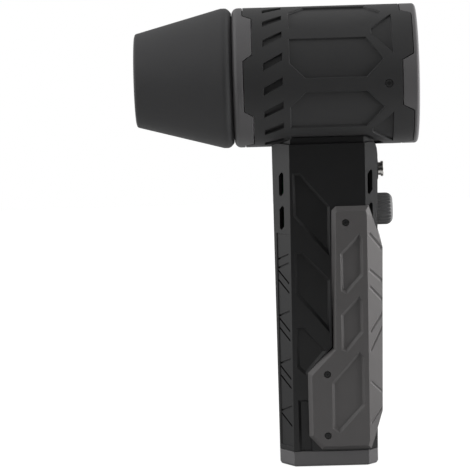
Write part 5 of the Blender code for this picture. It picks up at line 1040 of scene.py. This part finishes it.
finishes = dict(
    nozzle_black=plastic("softNozzle", (0.032, 0.032, 0.033), 0.05, 2600, 0.35, 0.55, 0.40),
    sleeve_black=plastic("sleeveBlack", (0.028, 0.028, 0.0285), 0.06, 2200, 0.30, 0.45, 0.30),
    shell_black=plastic("shellBlack", (0.0085, 0.0085, 0.0088), 0.08, 2200, 0.30, 0.40, 0.50),
    housing_grey=plastic("ringGrey", (0.078, 0.076, 0.078), 0.05, 3000, 0.18, 0.45),
    cover_grey=plastic("coverGrey", (0.069, 0.066, 0.066), 0.05, 2600, 0.25, 0.42, 0.50),
    knob_grey=plastic("knobGrey", (0.080, 0.080, 0.081), 0.06, 2600, 0.25, 0.45),
    button_chrome=metal("polishedButton", (0.84, 0.82, 0.79), 0.28, 900, 0.05),
    screw_steel=metal("brushedSteel", (0.45, 0.45, 0.46), 0.32, 1600, 0.15),
    screw_black=plastic("blackScrew", (0.018, 0.018, 0.018), 0.06, 1800, 0.15, 0.45),
    dark_steel=metal("darkSteel", (0.06, 0.06, 0.062), 0.42, 1800, 0.2),
    fan_aluminium=metal("castAluminium", (0.60, 0.60, 0.62), 0.38, 1400, 0.25),
    copper=metal("windingCopper", (0.72, 0.34, 0.16), 0.35, 1600, 0.3),
    seal_rubber=plastic("sealRubber", (0.018, 0.018, 0.018), 0.08, 2000, 0.4, 0.80),
    inner_plastic=plastic("innerBlack", (0.020, 0.020, 0.020), 0.06, 2000, 0.25, 0.55),
    cell_wrap=plastic("cellWrap", (0.05, 0.18, 0.12), 0.05, 900, 0.05, 0.35),
    board_green=plastic("boardGreen", (0.012, 0.09, 0.035), 0.15, 1200, 0.1, 0.45),
    capacitor_sleeve=plastic("capacitorSleeve", (0.02, 0.025, 0.06), 0.05, 900, 0.05, 0.35),
)


# Studio

studio = dict(ambient=0.22, front=0.01, back=0.36, up=0.28, sides=(1.40, 1.12), floorSize=1.1,
              floorY=0.20, floorDrop=0.0002, floorGrey=0.33, floorGlow=1.8, floorMirror=0.10)
# From where to where, along a direction of length 1, each wall of the room brightens
steps = dict(back=(-0.2, 0.4), side=(0.45, 0.90), near=(-0.35, 0.05), up=(0.30, 0.95))


def mapped(tree, value, low, high, step):
    # A smooth step of a value between two limits
    limits = {"From Min": steps[step][0], "From Max": steps[step][1], "To Min": low, "To Max": high}
    return node(tree, "MapRange", {"Value": value, **limits},
                interpolation_type="SMOOTHSTEP").outputs["Result"]


def reckoned(tree, operation, *values):
    return node(tree, "Math", dict(enumerate(values)), operation=operation).outputs[0]


def blended(tree, share, first, second):
    return node(tree, "MixShader", {0: share, 1: first, 2: second}).outputs[0]


def makeFloor():
    only(None)
    bpy.ops.mesh.primitive_plane_add(size=studio["floorSize"],
                                     location=(0.0, studio["floorY"], -studio["floorDrop"]))
    floor = newPiece("studioFloor")
    material = finish("paleFloor", [studio["floorGrey"]] * 3, 0.9, 0.0, 0.1)
    tree = material.node_tree
    glow = node(tree, "Emission", {"Strength": studio["floorGlow"]})
    # The camera sees half of the glow, so that the shadow stays
    rays = node(tree, "LightPath", {}).outputs
    seen = reckoned(tree, "MULTIPLY", rays["Is Camera Ray"], 0.5)
    share = reckoned(tree, "MULTIPLY_ADD", rays["Is Glossy Ray"], studio["floorMirror"], seen)
    shown = blended(tree, share, tree.nodes["Principled BSDF"].outputs[0], glow.outputs[0])
    tree.links.new(shown, tree.nodes["Material Output"].inputs["Surface"])
    floor.data.materials.append(material)


def makeWorld():
    world = bpy.data.worlds.new("studio")
    bpy.context.scene.world = world
    world.use_nodes = True
    tree = world.node_tree
    for old in list(tree.nodes):
        tree.nodes.remove(old)
    rays = node(tree, "LightPath", {}).outputs
    # Reflections see bright walls to the left and right, a dimmer one behind and a dark room
    way = node(tree, "TexCoord", {}).outputs["Generated"]
    x, y, z = node(tree, "SeparateXYZ", {0: way}).outputs
    behind = mapped(tree, y, studio["front"], studio["back"], "back")
    left = mapped(tree, reckoned(tree, "MULTIPLY", x, -1.0), 0.0, studio["sides"][1], "side")
    right = reckoned(tree, "MULTIPLY", mapped(tree, x, 0.0, studio["sides"][0], "side"),
                     mapped(tree, y, 0.0, 1.0, "near"))
    above = mapped(tree, z, 0.0, studio["up"], "up")
    walls = reckoned(tree, "ADD", left, right)
    for more in (behind, above):
        walls = reckoned(tree, "ADD", walls, more)
    room, mirrored, seen = (node(tree, "Background", {"Color": (1.0, 1.0, 1.0, 1.0),
                                                      "Strength": strength}).outputs[0]
                            for strength in (studio["ambient"], walls, 1.0))
    direct = reckoned(tree, "MAXIMUM", rays["Is Camera Ray"], rays["Is Transmission Ray"])
    shown = blended(tree, direct, blended(tree, rays["Is Glossy Ray"], room, mirrored), seen)
    node(tree, "OutputWorld", {"Surface": shown})


lamps = dict(left=dict(place=(-1.1, 0.0, 0.40), size=0.8, power=16.0),
             right=dict(place=(1.1, -0.05, 0.04), size=0.8, power=50.0))
lampAim = Vector((0.0, 0.0, 0.13))
sun = dict(way=(0.15, 0.45, -1.0), strength=1.40, spread=75.0)


def addLamp(name, kind, power, way):
    data = bpy.data.lights.new(name, kind)
    data.energy = power
    light = bpy.data.objects.new(name, data)
    bpy.context.scene.collection.objects.link(light)
    light.rotation_euler = Vector(way).to_track_quat("-Z", "Y").to_euler()
    light.visible_glossy = False
    return light


def makeLamps():
    for name, lamp in lamps.items():
        light = addLamp(name, "AREA", lamp["power"], lampAim - Vector(lamp["place"]))
        light.data.shape = "SQUARE"
        light.data.size = lamp["size"]
        light.location = lamp["place"]
    light = addLamp("above", "SUN", sun["strength"], sun["way"])
    light.data.angle = math.radians(sun["spread"])


view = dict(target=(-0.0469, 0.0, 0.1236), distance=1.3, azimuth=0.9, elevation=11.3, roll=1.8,
            lens=186.2, sensor=36.0)


def makeCamera():
    azimuth, elevation = math.radians(view["azimuth"]), math.radians(view["elevation"])
    target = Vector(view["target"])
    level = math.cos(elevation)
    away = Vector((level * math.sin(azimuth), -level * math.cos(azimuth), math.sin(elevation)))
    data = bpy.data.cameras.new("camera")
    data.lens = view["lens"]
    data.sensor_width = view["sensor"]
    camera = bpy.data.objects.new("camera", data)
    bpy.context.scene.collection.objects.link(camera)
    turn = away.to_track_quat("Z", "Y").to_matrix().to_4x4()
    roll = Matrix.Rotation(-math.radians(view["roll"]), 4, "Z")
    camera.matrix_world = Matrix.Translation(target + away * view["distance"]) @ turn @ roll
    bpy.context.scene.camera = camera


bpy.context.scene.view_settings.view_transform = "Standard"
makeFloor()
makeWorld()
makeLamps()
makeCamera()
print("studio made")
for make in (makeSleeve, makeFrontRing, makeRearRing, makeNozzle, makeShells, makeCover, makeBaseCap,
             makeKnob, makeButton, makeScrews, makeGrille, makeFan, makeSocket):
    make()
    print(make.__name__, "done")

for name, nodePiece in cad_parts.items():
    for slot in nodePiece.material_slots:
        slot.material = finishes[slot.material.name.split(".")[0]]
print("frame nodes finished")
